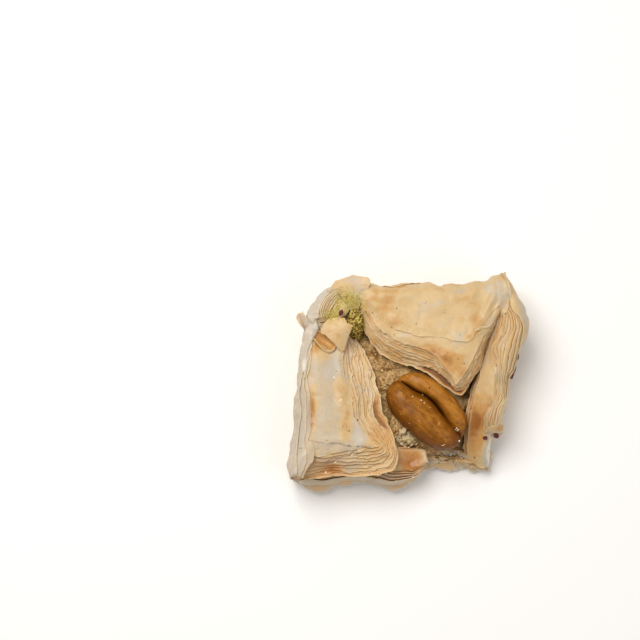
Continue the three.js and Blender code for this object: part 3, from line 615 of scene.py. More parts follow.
def wander(s, spacing, seed):
    """A smooth random line from -1 to 1, with a new value at every `spacing`."""
    values = np.random.default_rng(seed).uniform(-1, 1, LINE_VALUES)
    at = np.asarray(s, float) / spacing + LINE_START
    k = np.floor(at).astype(int)
    return lerp(values[k % LINE_VALUES], values[(k + 1) % LINE_VALUES], smoothstep(at - k, 0, 1))


def field(x, y, spacing, seed):
    """The same over a surface."""
    values = np.random.default_rng(seed).uniform(-1, 1, (GRID_VALUES, GRID_VALUES))
    x = np.asarray(x, float) / spacing + GRID_VALUES / 2
    y = np.asarray(y, float) / spacing + GRID_VALUES / 2
    i, j = np.floor(x).astype(int), np.floor(y).astype(int)
    u, v = smoothstep(x - i, 0, 1), smoothstep(y - j, 0, 1)
    left, right, front, back = (k % GRID_VALUES for k in (i, i + 1, j, j + 1))
    near = lerp(values[left, front], values[right, front], u)
    far = lerp(values[left, back], values[right, back], u)
    return lerp(near, far, v)


def wanders(s, *layers):
    """Random lines added up, each given by its height, its spacing and its seed."""
    return sum(height * wander(s, spacing, seed) for height, spacing, seed in layers)


def fields(x, y, *layers):
    """The same over a surface."""
    return sum(height * field(x, y, spacing, seed) for height, spacing, seed in layers)


# ---- Meshes ----

CRUMB_ROUGHNESS = 0.22
CRUMB_STRETCH = (0.6, 1.3)
SHADE_LIMITS = (-1.5, 0, 0, 0), (2, 1, 1, 1)


class Pile:
    """Points, faces and shade values gathered for one piece.

    Shade is tone, and then depth, leaf and edge from 0 to 1. Depth is painted shade in the crevices, and edge
    a paler rim that is partly a painted highlight.
    """

    def __init__(self):
        self.points = []
        self.shades = []
        self.quads = []
        self.triangles = []
        self.count = 0

    def add(self, points, shade, quads=None, triangles=None):
        points = np.asarray(points, float).reshape(-1, 3)
        shade = np.broadcast_to(np.asarray(shade, float), (len(points), 4))
        if quads is not None:
            self.quads.append(np.asarray(quads).reshape(-1, 4) + self.count)
        if triangles is not None:
            self.triangles.append(np.asarray(triangles).reshape(-1, 3) + self.count)
        self.points.append(points)
        self.shades.append(shade)
        self.count += len(points)

    def shell(self, grid, shade, closed=False):
        """A closed thin sheet whose upper side is a grid of points, rows by columns.

        With `closed`, the last row is joined to the first.
        """
        rows, columns = grid.shape[:2]
        if closed:
            along = np.roll(grid, -1, axis=0) - np.roll(grid, 1, axis=0)
        else:
            along = np.gradient(grid, axis=0)
        normal = np.cross(along, np.gradient(grid, axis=1))
        length = np.linalg.norm(normal, axis=2, keepdims=True)
        normal = normal / np.maximum(length, 1e-9)
        points = np.concatenate([grid.reshape(-1, 3), (grid - normal * LEAF_THICK).reshape(-1, 3)])
        upper = np.arange(rows * columns).reshape(rows, columns)
        lower = upper + rows * columns
        if closed:
            upper = np.concatenate([upper, upper[:1]])
            lower = np.concatenate([lower, lower[:1]])
        quads = [
            tiles(upper[:-1, :-1], upper[1:, :-1], upper[1:, 1:], upper[:-1, 1:]),
            tiles(lower[:-1, :-1], lower[:-1, 1:], lower[1:, 1:], lower[1:, :-1]),
            tiles(upper[:-1, 0], lower[:-1, 0], lower[1:, 0], upper[1:, 0]),
            tiles(upper[:-1, -1], upper[1:, -1], lower[1:, -1], lower[:-1, -1]),
        ]
        if not closed:
            quads += [
                tiles(upper[0, :-1], upper[0, 1:], lower[0, 1:], lower[0, :-1]),
                tiles(upper[-1, :-1], lower[-1, :-1], lower[-1, 1:], upper[-1, 1:]),
            ]
        shade = np.broadcast_to(shade, (rows, columns, 4)).reshape(-1, 4)
        self.add(points, np.concatenate([shade, shade]), quads=np.concatenate(quads))

    def body(self, grid, shade):
        """A closed body from rows of points that run from its one end to its other and go once round it.

        It faces outwards where the rows go anticlockwise, as seen from the end that they run to.
        """
        rows, columns = grid.shape[:2]
        ends = np.stack([grid[:, 0].mean(axis=0), grid[:, -1].mean(axis=0)])
        index = np.arange(rows * columns).reshape(rows, columns)
        index = np.concatenate([index, index[:1]])
        quads = tiles(index[:-1, :-1], index[1:, :-1], index[1:, 1:], index[:-1, 1:])
        first = np.full(rows, rows * columns)
        near = np.stack([index[1:, 0], index[:-1, 0], first], axis=1)
        far = np.stack([index[:-1, -1], index[1:, -1], first + 1], axis=1)
        shade = np.broadcast_to(shade, (rows, columns, 4))
        ends_shade = np.stack([shade[:, 0].mean(axis=0), shade[:, -1].mean(axis=0)])
        points = np.concatenate([grid.reshape(-1, 3), ends])
        shade = np.concatenate([shade.reshape(-1, 4), ends_shade])
        self.add(points, shade, quads=quads, triangles=np.concatenate([near, far]))

    def crumbs(self, places, sizes, shade, rng):
        """Small rough lumps, one at each place."""
        count = len(places)
        turns = np.linalg.qr(rng.normal(size=(count, 3, 3)))[0]
        turns = turns * np.sign(np.linalg.det(turns))[:, None, None]
        lumps = CRUMB_POINTS[None] * (1 + CRUMB_ROUGHNESS * rng.normal(size=(count, len(CRUMB_POINTS), 1)))
        lumps = lumps * rng.uniform(*CRUMB_STRETCH, (count, 1, 3))
        points = places[:, None] + sizes[:, None, None] * np.einsum("nij,nkj->nki", turns, lumps)
        faces = CRUMB_FACES[None] + (np.arange(count) * len(CRUMB_POINTS))[:, None, None]
        self.add(points, np.repeat(shade, len(CRUMB_POINTS), axis=0), triangles=faces)

    def piece(self, name, material, slot, smooth=True):
        """The gathered shapes as one object that rides on the part."""
        places = np.concatenate(self.points)
        points = (places * MM).astype(np.float32)
        counts = []
        corners = []
        for faces, size in ((self.quads, 4), (self.triangles, 3)):
            if faces:
                faces = np.concatenate(faces)
                counts.append(np.full(len(faces), size))
                corners.append(faces.ravel())
        counts = np.concatenate(counts)
        corners = np.concatenate(corners)
        mesh = bpy.data.meshes.new(name)
        mesh.vertices.add(len(points))
        mesh.vertices.foreach_set("co", points.ravel())
        mesh.loops.add(len(corners))
        mesh.loops.foreach_set("vertex_index", corners.astype(np.int32))
        mesh.polygons.add(len(counts))
        starts = np.concatenate([[0], np.cumsum(counts)[:-1]])
        mesh.polygons.foreach_set("loop_start", starts.astype(np.int32))
        mesh.polygons.foreach_set("use_smooth", np.full(len(counts), smooth))
        shades = np.clip(np.concatenate(self.shades), *SHADE_LIMITS).astype(np.float32)
        for title, values in (("look", shades), ("film", film_over(places))):
            attribute = mesh.color_attributes.new(title, "FLOAT_COLOR", "POINT")
            attribute.data.foreach_set("color", values.ravel())
        mesh.update(calc_edges=True)
        mesh.validate()
        mesh.materials.append(material)
        made = bpy.data.objects.new(name, mesh)
        bpy.context.scene.collection.objects.link(made)
        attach(made, "root")
        return made


def crumb_shape():
    """The corners and faces of an icosahedron of radius 1."""
    golden = (1 + 5**0.5) / 2
    corners = []
    for a in (-1, 1):
        for b in (-golden, golden):
            corners += [(0, a, b), (a, b, 0), (b, 0, a)]
    corners = np.array(corners, float)
    just_over_a_side = 2.1
    faces = []
    for i, j, k in itertools.combinations(range(len(corners)), 3):
        sides = [np.linalg.norm(corners[m] - corners[n]) for m, n in ((i, j), (j, k), (i, k))]
        if max(sides) < just_over_a_side:
            turn = np.dot(np.cross(corners[j] - corners[i], corners[k] - corners[i]), corners[i])
            faces.append((i, j, k) if turn > 0 else (i, k, j))
    return corners / np.linalg.norm(corners[0]), np.array(faces)


CRUMB_POINTS, CRUMB_FACES = crumb_shape()


def leaf_value(number):
    """A value from 0 to 1 that differs much between neighbouring numbers."""
    return (number * 0.37) % 1


def spot_at(spot, plan):
    """How near points are to an area, from 0 far away to 1 at its middle."""
    turn = math.radians(spot["turn"])
    out = plan - np.array(spot["at"])
    first = out[..., 0] * math.cos(turn) + out[..., 1] * math.sin(turn)
    second = out[..., 1] * math.cos(turn) - out[..., 0] * math.sin(turn)
    away = (first / spot["size"][0]) ** 2 + (second / spot["size"][1]) ** 2
    return np.exp(-(away ** spot["sharp"]))


def film_over(points):
    """What lies on the surface: syrup and pistachio dust, each from 0 to 1."""
    film = np.zeros((len(points), 4), np.float32)
    for channel, spots in enumerate((WET, DUSTED)):
        for spot in spots:
            film[:, channel] += spot["much"] * spot_at(spot, points[:, :2])
    return np.clip(film, 0, 1)


def tiles(a, b, c, d):
    """Quads from four grids of their corners."""
    return np.stack([a, b, c, d], axis=-1).reshape(-1, 4)


def shade_of(shape, tone=0.0, depth=0.0, leaf=0.0, edge=0.0):
    """Shade values over a grid."""
    made = np.zeros((*shape, 4))
    for channel, value in enumerate((tone, depth, leaf, edge)):
        made[..., channel] = value
    return made


# ---- Folds ----

HALF_EDGE_POINTS = 200
HALF_SECTION = 200  # points from shoulder to the outermost line
USUAL_RISE = 9  # half the height of a usual fold, for the section's shape
ROUNDING = 1.2  # the length of the arc is the crest's height and this many reaches
WALL_SEEN = 3  # a line drawn this far past the outermost line lies down the wall by the whole arc's length
DEEPER_TONE = 0.24  # how much browner the sheets get from the topmost to the lowest, about
SKIN_CREVICE = 0.25  # how much shade is painted under the edge of a flap's skin


def free_edge(corners, fold):
    """A sheet's free edge through its corner points, with as many points before its tip as after.

    The tip lies farthest from the fold.
    """
    line = soft_line(corners, EDGE_WINDOW)
    tip = int(np.argmax(fold.flat(line)[1]))
    tip = min(max(tip, 4), len(line) - 5)
    parts = []
    for part in (line[: tip + 1], line[tip:]):
        share = np.linspace(0, 1, len(part))
        at = np.linspace(0, 1, HALF_EDGE_POINTS)
        parts.append(np.stack([np.interp(at, share, part[:, k]) for k in range(2)], axis=1))
    return np.concatenate([parts[0], parts[1][1:]])


def soft_line(corners, window):
    """A line through corner points, which are rounded off as far as `window` to either side."""
    line, _ = resampled(np.array(corners, float), FINE)
    half = int(window / FINE)
    kernel = np.hanning(2 * half + 3)[1:-1]
    before = 2 * line[0] - line[half:0:-1]
    after = 2 * line[-1] - line[-2 : -half - 2 : -1]
    padded = np.concatenate([before, line, after])
    return np.stack([np.convolve(padded[:, k], kernel / kernel.sum(), "valid") for k in range(2)], axis=1)


def resampled(line, step):
    """A line's points at even distances, and how far along each lies."""
    at = distances_along(line)
    s = np.linspace(0, at[-1], max(int(at[-1] / step), 8))
    return np.stack([np.interp(s, at, line[:, k]) for k in range(2)], axis=1), s


def distances_along(line):
    """How far along a line each of its points lies, as seen from above."""
    return np.concatenate([[0], np.cumsum(np.hypot(*np.diff(line[:, :2], axis=0).T))])


def section_table():
    """The fold's rounded section, by share of its arc from shoulder to foot: how far out, and how high.

    Out goes from 0 to 1, and up from -1 to 1.
    """
    angle = np.linspace(np.pi / 2, -np.pi / 2, 2 * HALF_SECTION)
    side = np.abs(np.cos(angle)) ** (2 / FOLD_SQUARENESS)
    rise = np.sign(np.sin(angle)) * np.abs(np.sin(angle)) ** (2 / FOLD_SQUARENESS)
    arc = np.concatenate([[0], np.cumsum(np.hypot(np.diff(side) * FOLD_REACH, np.diff(rise) * USUAL_RISE))])
    return arc / arc[-1], side, rise


ARC, SIDE, RISE = section_table()


class Fold:
    """A flap and its fold.

    A point on a sheet is given by `a`, along the fold's chord, and `p`, along the sheet: 0 at the crest's
    shoulder, more towards the free edge, less down the wall and in under the parcel.
    """

    def __init__(self, name, spec, seed):
        self.name, self.spec, self.seed = name, {**PLAIN_FLAP, **spec}, seed
        line = soft_line(spec["fold"], FOLD_WINDOW)
        self.start = line[0]
        self.length = np.hypot(*(line[-1] - line[0]))
        self.along = (line[-1] - line[0]) / self.length
        self.inward = np.array([-self.along[1], self.along[0]])
        self.bow = ((line - self.start) @ self.along, (line - self.start) @ self.inward)
        self.profiles = {}
        for key in ("crest", "rim", "reach"):
            values = self.spec[key]
            even = np.linspace(0, self.length, len(values))
            self.profiles[key] = soft_line(np.stack([even, values], axis=1), PROFILE_WINDOW).T
        self.low = free_edge(spec["low"], self)
        self.top = free_edge(spec["top"], self)
        a, d = self.flat(self.low)
        order = np.argsort(a)
        self.low_depth = (a[order], d[order])
        self.outer = spec["outer"]
        self.sheets = self.outer + spec["fan"] + ("skin" in spec)
        self.pitch = spec["thick"] / (self.sheets - self.outer)

    def swing(self, a):
        """How far in from its chord the fold's outermost line lies."""
        return np.interp(a, *self.bow)

    def flat(self, plan):
        """From x and y to `a` and the distance in from the fold's outermost line."""
        out = plan - self.start
        a = out @ self.along
        return a, out @ self.inward - self.swing(a)

    def unrolled(self, plan):
        """From x and y, as seen from above, to `a` and `p`."""
        a, d = self.flat(plan)
        reach = self.reach(a)
        arc = np.interp(np.clip(1 - d / reach, 0, 1), SIDE[:HALF_SECTION], ARC[:HALF_SECTION])
        arc = np.where(d < 0, ARC[HALF_SECTION] - d / WALL_SEEN, arc)
        return a, np.where(d > reach, d - reach, -arc * self.wrap(a))

    def plan(self, a, d):
        """From `a` and the distance in to x and y."""
        away = d + self.swing(a)
        return self.start + a[..., None] * self.along + away[..., None] * self.inward

    def reach(self, a):
        """How far in from its outermost line the fold's shoulder lies."""
        u = np.clip(a / self.length, 0, 1)
        full = np.interp(a, *self.profiles["reach"])
        return full * lerp(END_REACH, 1, smoothstep(np.minimum(u, 1 - u), 0, END_SHARE))

    def crest(self, a):
        return np.interp(a, *self.profiles["crest"])

    def wrap(self, a):
        """The length of the arc from shoulder to foot."""
        return self.crest(a) + ROUNDING * self.reach(a)

    def height(self, a, p):
        """The top of the flap."""
        rim = np.interp(a, *self.profiles["rim"])
        full = np.maximum(np.interp(a, *self.low_depth) - self.reach(a), SHORTEST_FLAP)
        v = np.clip(p / full, 0, 1)
        return lerp(self.crest(a), rim, v) - self.spec["sag"] * 4 * v * (1 - v)

    def offset(self, index, a, p):
        """How far a sheet lies under the flap's face: the stack opens and closes up at random."""
        total = np.zeros(np.broadcast(a, p).shape)
        for k in range(min(index, self.outer), max(index, self.outer)):
            loose = self.spec["loose"] * field(a, np.maximum(p, -5), 6.5, self.seed * 100 + k)
            is_thin = k < self.outer or ("skin" in self.spec and k == self.outer)
            pitch = OUTER_PITCH if is_thin else self.pitch
            total = total + pitch * np.maximum(1 + loose, (LEAF_THICK + LEAF_GAP) / pitch)
        return total if index >= self.outer else -total

    def crevice(self, index):
        """How much shade is painted under the edge of the sheet above."""
        if index <= self.outer:
            return self.spec["outer_crevice"]
        is_under_skin = "skin" in self.spec and index == self.outer + 1
        return SKIN_CREVICE if is_under_skin else self.spec["crevice"]

    def here(self, spot, a, p):
        """How near points on a sheet are to an area."""
        return spot_at(spot, self.plan(a, self.reach(a) + p))

    def fan_line(self, rank):
        """The free edge of one of the fanned sheets.

        Where a flap parts, its lowest sheet lies away from the rest.
        """
        share = np.full(len(self.low), rank / (self.spec["fan"] - 1))
        if "parting" in self.spec and share[0] < 1:
            share = share * (1 - self.spec["parting"]["by"] * spot_at(self.spec["parting"], self.low))
        return lerp(self.top, self.low, share[:, None])

    def swell(self, a, p):
        """The crumple that all the sheets of a flap share."""
        swell = 0.4 * field(a / 1.6, p, 5.5, self.seed + 7) + 0.2 * field(a / 1.4, p, 2.6, self.seed + 8)
        ridges = np.abs(field(a, p, 3.4, self.seed + 9)) ** 0.6
        swell = swell + 0.22 * ridges + 0.05 * field(a, p, 1.1, self.seed + 10)
        for bump in self.spec["bumps"]:
            swell = swell + bump["rise"] * self.here(bump, a, p)
        wrinkles = 0.45 * field(a, p / 4, 2.8, self.seed + 12) + 0.16 * field(a, p / 5, 1.2, self.seed + 13)
        swell = swell + wrinkles * smoothstep(-p, 1.5, 5)
        return swell * smoothstep(p, -0.9 * self.wrap(a), -0.6 * self.wrap(a))

    def tone(self, index, a, p):
        """A sheet's tone: how browned it is, with painted shade and highlights from some of its tone patches.
        """
        if index < self.outer:
            base = self.spec["outer_tones"][index]
        else:
            base = self.spec["tone"] + DEEPER_TONE * (index - self.outer) / (self.sheets - self.outer)
        down_the_wall = smoothstep(-p / self.wrap(a), 0.12, 0.5) * smoothstep(self.crest(a), 7, 13)
        tone = base + 0.8 * (WALL_TONE - base) * down_the_wall
        for tone_patch in self.spec["stains_and_painted_light"]:
            if index >= self.outer or tone_patch["tone"] < 0:
                tone = tone + tone_patch["tone"] * self.here(tone_patch, a, p)
        return tone

    def point(self, a, p, index):
        """The place of a point on a sheet."""
        a, p = np.broadcast_arrays(np.asarray(a, float), np.asarray(p, float))
        reach, crest, wrap = self.reach(a), self.crest(a), self.wrap(a)
        under = self.offset(index, a, np.maximum(p, 0))
        arc = np.clip(-p / wrap, 0, 1)
        side = np.interp(arc, ARC, SIDE)
        rise = np.interp(arc, ARC, RISE)
        even = index * BASE_THICK / self.sheets
        under_here = lerp(under, even, smoothstep(arc, 0, 0.7))
        wall = WALL_SHARE * reach * index / self.sheets
        d = np.where(p > 0, reach + p, reach - (reach - wall) * side)
        z = np.where(p > 0, self.height(a, p) - under, crest / 2 + (crest / 2 - under_here) * rise)
        d = np.where(p < -wrap, reach - p - wrap, d)
        swell = self.swell(a, p)
        d = d - np.where(p > 0, 0, side * swell)
        z = z + np.where(p > 0, 1, np.maximum(rise, 0)) * swell
        return np.concatenate([self.stirred(self.plan(a, d)), z[..., None]], axis=-1)

    def stirred(self, plan):
        """Pushed about sideways, the same for every sheet, so that their edges wave together."""
        by = STIR + sum(stir["by"] * spot_at(stir, plan) for stir in self.spec["stir"])
        x, y = plan[..., 0], plan[..., 1]
        push = np.stack([field(x, y, 4.2, self.seed + 41), field(x, y, 3.6, self.seed + 42)], axis=-1)
        return plan + np.asarray(by)[..., None] * push

    def edge_line(self, line, seed):
        """A sheet's ragged free edge as `a` and `p`, with the distance along it."""
        line, s = resampled(line, STEP)
        slope = np.gradient(line, axis=0)
        out = np.stack([slope[:, 1], -slope[:, 0]], axis=1) / np.hypot(*slope.T)[:, None]
        ragged = 0.2 * wander(s, 5.5, self.seed + 3) + 0.26 * wander(s, 4.6, seed)
        ragged = ragged + wanders(s, (0.1, 1.2, seed + 1), (0.08, 0.45, seed + 2))
        ragged = ragged - 0.35 * smoothstep(wander(s, 1.5, seed + 9), 0.5, 0.95)
        line = line + out * ragged[:, None]
        a, d = self.flat(line)
        a = np.maximum.accumulate(a + LEAST_STEP * np.arange(len(a)))
        return a, d - self.reach(a), s

    def torn_line(self, index, seed):
        """The edge of an outer sheet that is torn off at the crest, as edge_line gives it."""
        keys = [self.unrolled(soft_line(key, TORN_WINDOW)) for key in self.spec["torn"]]
        a = np.arange(-0.4, self.length + 0.4, STEP)
        place = index / max(self.outer - 1, 1) * (len(keys) - 1)
        low = min(int(place), len(keys) - 1)
        high = min(low + 1, len(keys) - 1)
        near, far = (np.interp(a, *(np.maximum.accumulate(keys[k][0]), keys[k][1])) for k in (low, high))
        p = lerp(near, far, place - low)
        rough = self.spec["rough"] * (1 + 2.5 * smoothstep(-p, 3, 8))
        p = p + rough * wanders(a, (0.2, 4.4, seed), (0.12, 1.2, seed + 1), (0.09, 0.42, seed + 2))
        here = p > -self.wrap(a)
        line, s = resampled(np.stack([a[here], p[here]], axis=1), STEP)
        return line[:, 0] + LEAST_STEP * np.arange(len(line)), line[:, 1], s


def stack_columns(count, crowding):
    """Shares of a sheet's depth, close together at the free edge."""
    return np.sort(1 - np.linspace(0, 1, count) ** crowding)


def nearest_on(line, points):
    """How far points lie from a line, and which of the line's points is nearest to each."""
    flat = points.reshape(-1, 2)
    away = np.empty(len(flat))
    nearest = np.empty(len(flat), int)
    for at in range(0, len(flat), 2000):
        part = flat[at : at + 2000]
        squares = ((part[:, None] - line[None]) ** 2).sum(axis=2)
        nearest[at : at + 2000] = squares.argmin(axis=1)
        away[at : at + 2000] = np.sqrt(squares.min(axis=1))
    return away.reshape(points.shape[:-1]), nearest.reshape(points.shape[:-1])


def inward_from(a, p, s):
    """The way in from a sheet's edge, smoothed along it, as steps in `a` and `p`."""
    kernel = np.hanning(15)[1:-1]
    kernel = kernel / kernel.sum()
    slopes = [np.convolve(np.pad(np.gradient(v, s), 6, mode="edge"), kernel, "valid") for v in (a, p)]
    way = np.stack([0.6 * slopes[1], -0.6 * slopes[0] - 0.4], axis=1)
    return way / np.maximum(np.hypot(*way.T), 0.1)[:, None]


def add_sheet(pile, fold, index, edge, span, columns, cover, straight):
    """A sheet of a flap, from its free edge back by `span`. `cover` is the edge that lies over it."""
    a, p, s = edge
    back = span[:, None] * (1 - columns[None, :])
    if straight:
        ends = np.exp(-np.minimum(s, s[-1] - s) / 1.5)[:, None]
        outward = np.where(s < s[-1] / 2, -1, 1)[:, None]
        seed = fold.seed * 9 + index
        torn = wanders(back, (0.3, 1.1, seed + index * 12), (0.45, 3.6, seed))
        aa = a[:, None] + outward * ends * torn
        pp = p[:, None] - back
    else:
        way = inward_from(a, p, s)
        aa = a[:, None] + way[:, :1] * back
        pp = p[:, None] + way[:, 1:] * back
    grid = fold.point(aa, pp, index)
    places = np.stack([aa, pp], axis=-1)
    away, nearest = nearest_on(np.stack([a, p], axis=1), places)
    lift = wanders(s, (0.12, 3.2, fold.seed + index * 17), (0.04, 0.9, fold.seed + index * 19))
    room = 0
    if index + 1 < fold.sheets:
        room = fold.offset(index + 1, aa, pp) - fold.offset(index, aa, pp) - LEAF_THICK - LEAF_GAP
    near_edge = smoothstep(1.5 - away, 0, 1.5) ** 2 * smoothstep(pp, -2.5, 0.5)
    grid[..., 2] += (lift[nearest] - DROOP * room) * near_edge
    # Painted shade: darker from just outside the edge of the sheet above to under it, fading in and out along
    # the edge. In a parting, painted shadow also darkens the gap.
    depth = np.zeros_like(back)
    if cover is not None:
        to_cover, _ = nearest_on(np.stack(cover, axis=1), places)
        covered = np.interp(aa, *cover) > pp
        under = np.where(covered, to_cover, -to_cover)
        depth = smoothstep(under, -0.75, 0.12)
        fades = smoothstep(wander(s, 5.0, fold.seed * 3 + index * 23), -0.9, 0.5)
        depth = depth * (lerp(0.2, 1, fades) * fold.crevice(index))[:, None]
        if index == fold.sheets - 1 and "parting" in fold.spec:
            parted = np.minimum(1, 2.2 * fold.here(fold.spec["parting"], aa, pp))
            dark = fold.spec["parting"]["dark"] * smoothstep(under, -1.9, -1.0) * smoothstep(away, 0.1, 0.5)
            depth = np.maximum(depth, parted * dark)
            grid[..., 2] -= 0.5 * parted * smoothstep(under, -2.4, -0.6)
    shade = shade_of(
        back.shape,
        tone=fold.tone(index, aa, pp),
        depth=depth,
        leaf=np.random.default_rng(fold.seed * 31 + index * 7).random(),
        edge=np.exp(-away / EDGE_FADE),
    )
    pile.shell(grid, shade)


def flap(fold, material):
    """All the sheets of a flap. The outermost and the face run round the fold and in under the parcel."""
    pile = Pile()
    cover = None
    skins = [free_edge(fold.spec["skin"], fold)] if "skin" in fold.spec else []
    for index in range(fold.sheets):
        seed = fold.seed * 53 + index * 5
        rank = index - fold.outer - len(skins)
        if index < fold.outer:
            edge = fold.torn_line(index, seed)
        elif rank < 0:
            edge = fold.edge_line(skins[0], seed)
        else:
            edge = fold.edge_line(fold.fan_line(rank), seed)
        a, p, _ = edge
        span = p + fold.wrap(a) + FOOT
        columns = stack_columns(40, 1.7)
        is_whole = index in (0, fold.outer, fold.outer + len(skins))
        if not is_whole:
            span = np.minimum(OUTER_SPAN if index < fold.outer else FAN_SPAN, span)
            columns = stack_columns(10, 1.9)
        add_sheet(pile, fold, index, edge, span, columns, cover, is_whole)
        cover = (a, p)
    return pile.piece("phyllo_" + fold.name, material, "phyllo")


# ---- Loose leaves ----


def add_leaf(pile, leaf, seed):
    """A small loose leaf inside a closed rim."""
    rim = np.array(leaf["rim"], float)
    rim = np.concatenate([rim, rim[:1]])
    at = distances_along(rim)
    count = max(int(at[-1] / LEAF_STEP), 12)
    s = np.linspace(0, at[-1], count, endpoint=False)
    rim = np.stack([np.interp(s, at, rim[:, k]) for k in range(3)], axis=1)
    middle = np.array(leaf["middle"], float)
    ragged = 0.12 * wander(s, 1.1, seed) + 0.08 * wander(s, 0.45, seed + 1)
    out = rim[:, :2] - middle[:2]
    size = np.hypot(*out.T)
    rim[:, :2] += out / size[:, None] * (ragged * np.minimum(1, size / 2))[:, None]
    share = np.linspace(0.004, 1, leaf.get("rings", 14))[None, :]
    grid = np.zeros((count, share.shape[1], 3))
    grid[..., :2] = lerp(middle[:2], rim[:, None, :2], share[..., None])
    grid[..., 2] = lerp(middle[2], rim[:, None, 2], share ** leaf.get("power", 1.6))
    grid[..., 2] += leaf.get("crumple", 0.16) * field(grid[..., 0], grid[..., 1], 1.7, seed + 2)
    back = (1 - share) * size[:, None]
    edge = np.exp(-back / EDGE_FADE)
    shade = shade_of(edge.shape, tone=leaf["tone"], leaf=leaf_value(seed), edge=edge)
    pile.shell(grid[:, ::-1], shade[:, ::-1], closed=True)


def add_strip(pile, strip, seed, ground):
    """A loose strip of leaf between the line where it is held and its free edge."""
    ends = []
    for key in ("held", "free"):
        corners = np.array(strip[key], float)
        plan = soft_line(corners[:, :2], TORN_WINDOW)
        at = distances_along(corners)
        count = max(int(at[-1] / STRIP_STEP), 20) if key == "held" else len(ends[0])
        share = np.linspace(0, 1, count)
        along = np.linspace(0, 1, len(plan))
        x, y = (np.interp(share, along, plan[:, k]) for k in range(2))
        ends.append(np.stack([x, y, np.interp(share * at[-1], at, corners[:, 2])], axis=1))
    held, free = ends
    s = np.linspace(0, 1, len(free)) * np.hypot(*np.diff(free[:, :2], axis=0).T).sum()
    torn = wander(s, 1.3, seed) + 0.8 * wander(s, 0.5, seed + 1)
    torn = torn - smoothstep(wander(s, 2.1, seed + 2), 0.4, 0.9)
    out = free - held
    width = np.linalg.norm(out, axis=1)
    free = free + out / width[:, None] * (strip["ragged"] * 0.6 * torn)[:, None]
    share = (1 - np.linspace(0, 1, 11) ** 1.7)[None, :]
    grid = lerp(held[:, None], free[:, None], share[..., None])
    wave = fields(grid[..., 0], grid[..., 1], (0.3, 2.3, seed + 3), (0.12, 0.9, seed + 4))
    grid[..., 2] += strip["bulge"] * 4 * share * (1 - share)
    if strip.get("resting"):
        below = np.array([[ground.under(x, y)[0].z / MM for x, y in row] for row in grid[..., :2]])
        grid[..., 2] += np.maximum(below, smoothed(below))
    else:
        grid[..., 2] += wave * share
    edge = np.exp(-(1 - share) * width[:, None] / STRIP_FADE)
    tone = lerp(strip["tone"] + 0.3 * wander(s, 4.0, seed + 5)[:, None], strip["rim_tone"], edge)
    # Painted shadow, darker towards the line where the strip is held.
    depth = strip["shadow"] * (1 - share) ** 1.5 * np.ones_like(edge)
    shade = shade_of(edge.shape, tone=tone, depth=depth, leaf=leaf_value(seed), edge=edge)
    pile.shell(grid, shade)


def smoothed(grid):
    """A grid of values, each made the mean of its neighbours in a window."""
    padded = np.pad(grid, 3, mode="edge")
    return np.lib.stride_tricks.sliding_window_view(padded, (7, 7)).mean(axis=(2, 3))


def leaves(material, ground):
    """Loose strips and leaves. A resting one is given by its height over what lies below it."""
    pile = Pile()
    for k, strip in enumerate(STRIPS):
        add_strip(pile, strip, 740 + 9 * k, ground)
    for k, leaf in enumerate(LEAVES):
        add_leaf(pile, leaf, 700 + 9 * k)
    return pile.piece("phyllo_leaves", material, "phyllo")


# ---- Base ----


def base_outline(count):
    """The base's outline with rounded corners, as points at even distances."""
    corners = np.array(BASE_CORNERS)
    line, _ = resampled(np.concatenate([corners, corners[:1]]), 0.1)
    kernel = np.hanning(31)
    kernel /= kernel.sum()
    loop = np.concatenate([line[-16:-1], line[:-1], line[:15]])
    soft = np.stack([np.convolve(loop[:, k], kernel, "valid") for k in range(2)], axis=1)
    soft, _ = resampled(np.concatenate([soft, soft[:1]]), np.hypot(*np.diff(soft, axis=0).T).sum() / count)
    return soft[:-1]


def base(material):
    """The unfolded middle of the stack."""
    pile = Pile()
    outline = base_outline(360)
    around = np.arange(len(outline)) * BASE_STEP
    size = np.hypot(*outline.T)
    for index in range(BASE_SHEETS):
        shares = np.linspace(0.8, 1, 8)
        if index in (0, BASE_SHEETS - 1):
            shares = np.concatenate([[0.004, 0.3, 0.55], np.linspace(0.7, 1, 13)])
        ragged = ((0.6, 4.0, 300 + index), (0.35, 1.2, 320 + index), (0.16, 0.5, 340 + index))
        back = BASE_STAIR * index + wanders(around, *ragged)
        scale = (size - np.maximum(back, -0.3)) / size
        grid = np.zeros((len(outline), len(shares), 3))
        grid[..., :2] = (outline * scale[:, None])[:, None, :] * shares[None, :, None]
        level = BASE_BOTTOM + index * (BASE_THICK - 0.3) / (BASE_SHEETS - 1)
        wave = fields(grid[..., 0], grid[..., 1], (0.25, 5, 360), (0.16, 3, 370 + index))
        grid[..., 2] = level + wave * min(index, 3) / 3
        edge = np.exp(-(1 - shares[None, :]) * size[:, None] / STRIP_FADE)
        tone = 0.45 + 0.25 * wave
        # Painted shade, darker in from each sheet's rim.
        shade = shade_of(edge.shape, tone=tone, depth=0.45 * (1 - edge), leaf=leaf_value(index), edge=edge)
        pile.shell(grid, shade, closed=True)
    return pile.piece("phyllo_base", material, "phyllo")


# ---- Filling ----


def filling_height(x, y, r):
    """The mound's top, with `r` from 0 at its middle to 1 at its rim."""
    lumps = 0.5 * (np.sin(x * 0.9 + y * 0.5) + np.sin(y * 1.1 - x * 0.4)) * (1 - r**4)
    relief = fields(x, y, (0.3, 1.7, 401), (0.26, 0.85, 402), (0.2, 0.42, 403))
    for lump in LUMPS:
        near = spot_at(lump, np.stack([x, y], axis=-1))
        relief = relief + near * (lump["rise"] + 0.5 * np.abs(field(x, y, 0.9, 404)))
    base = FILLING["floor"] + FILLING["rim_height"] + FILLING["height"] * (1 - r**4)
    return base + (lumps + relief) * (1 - r**8)


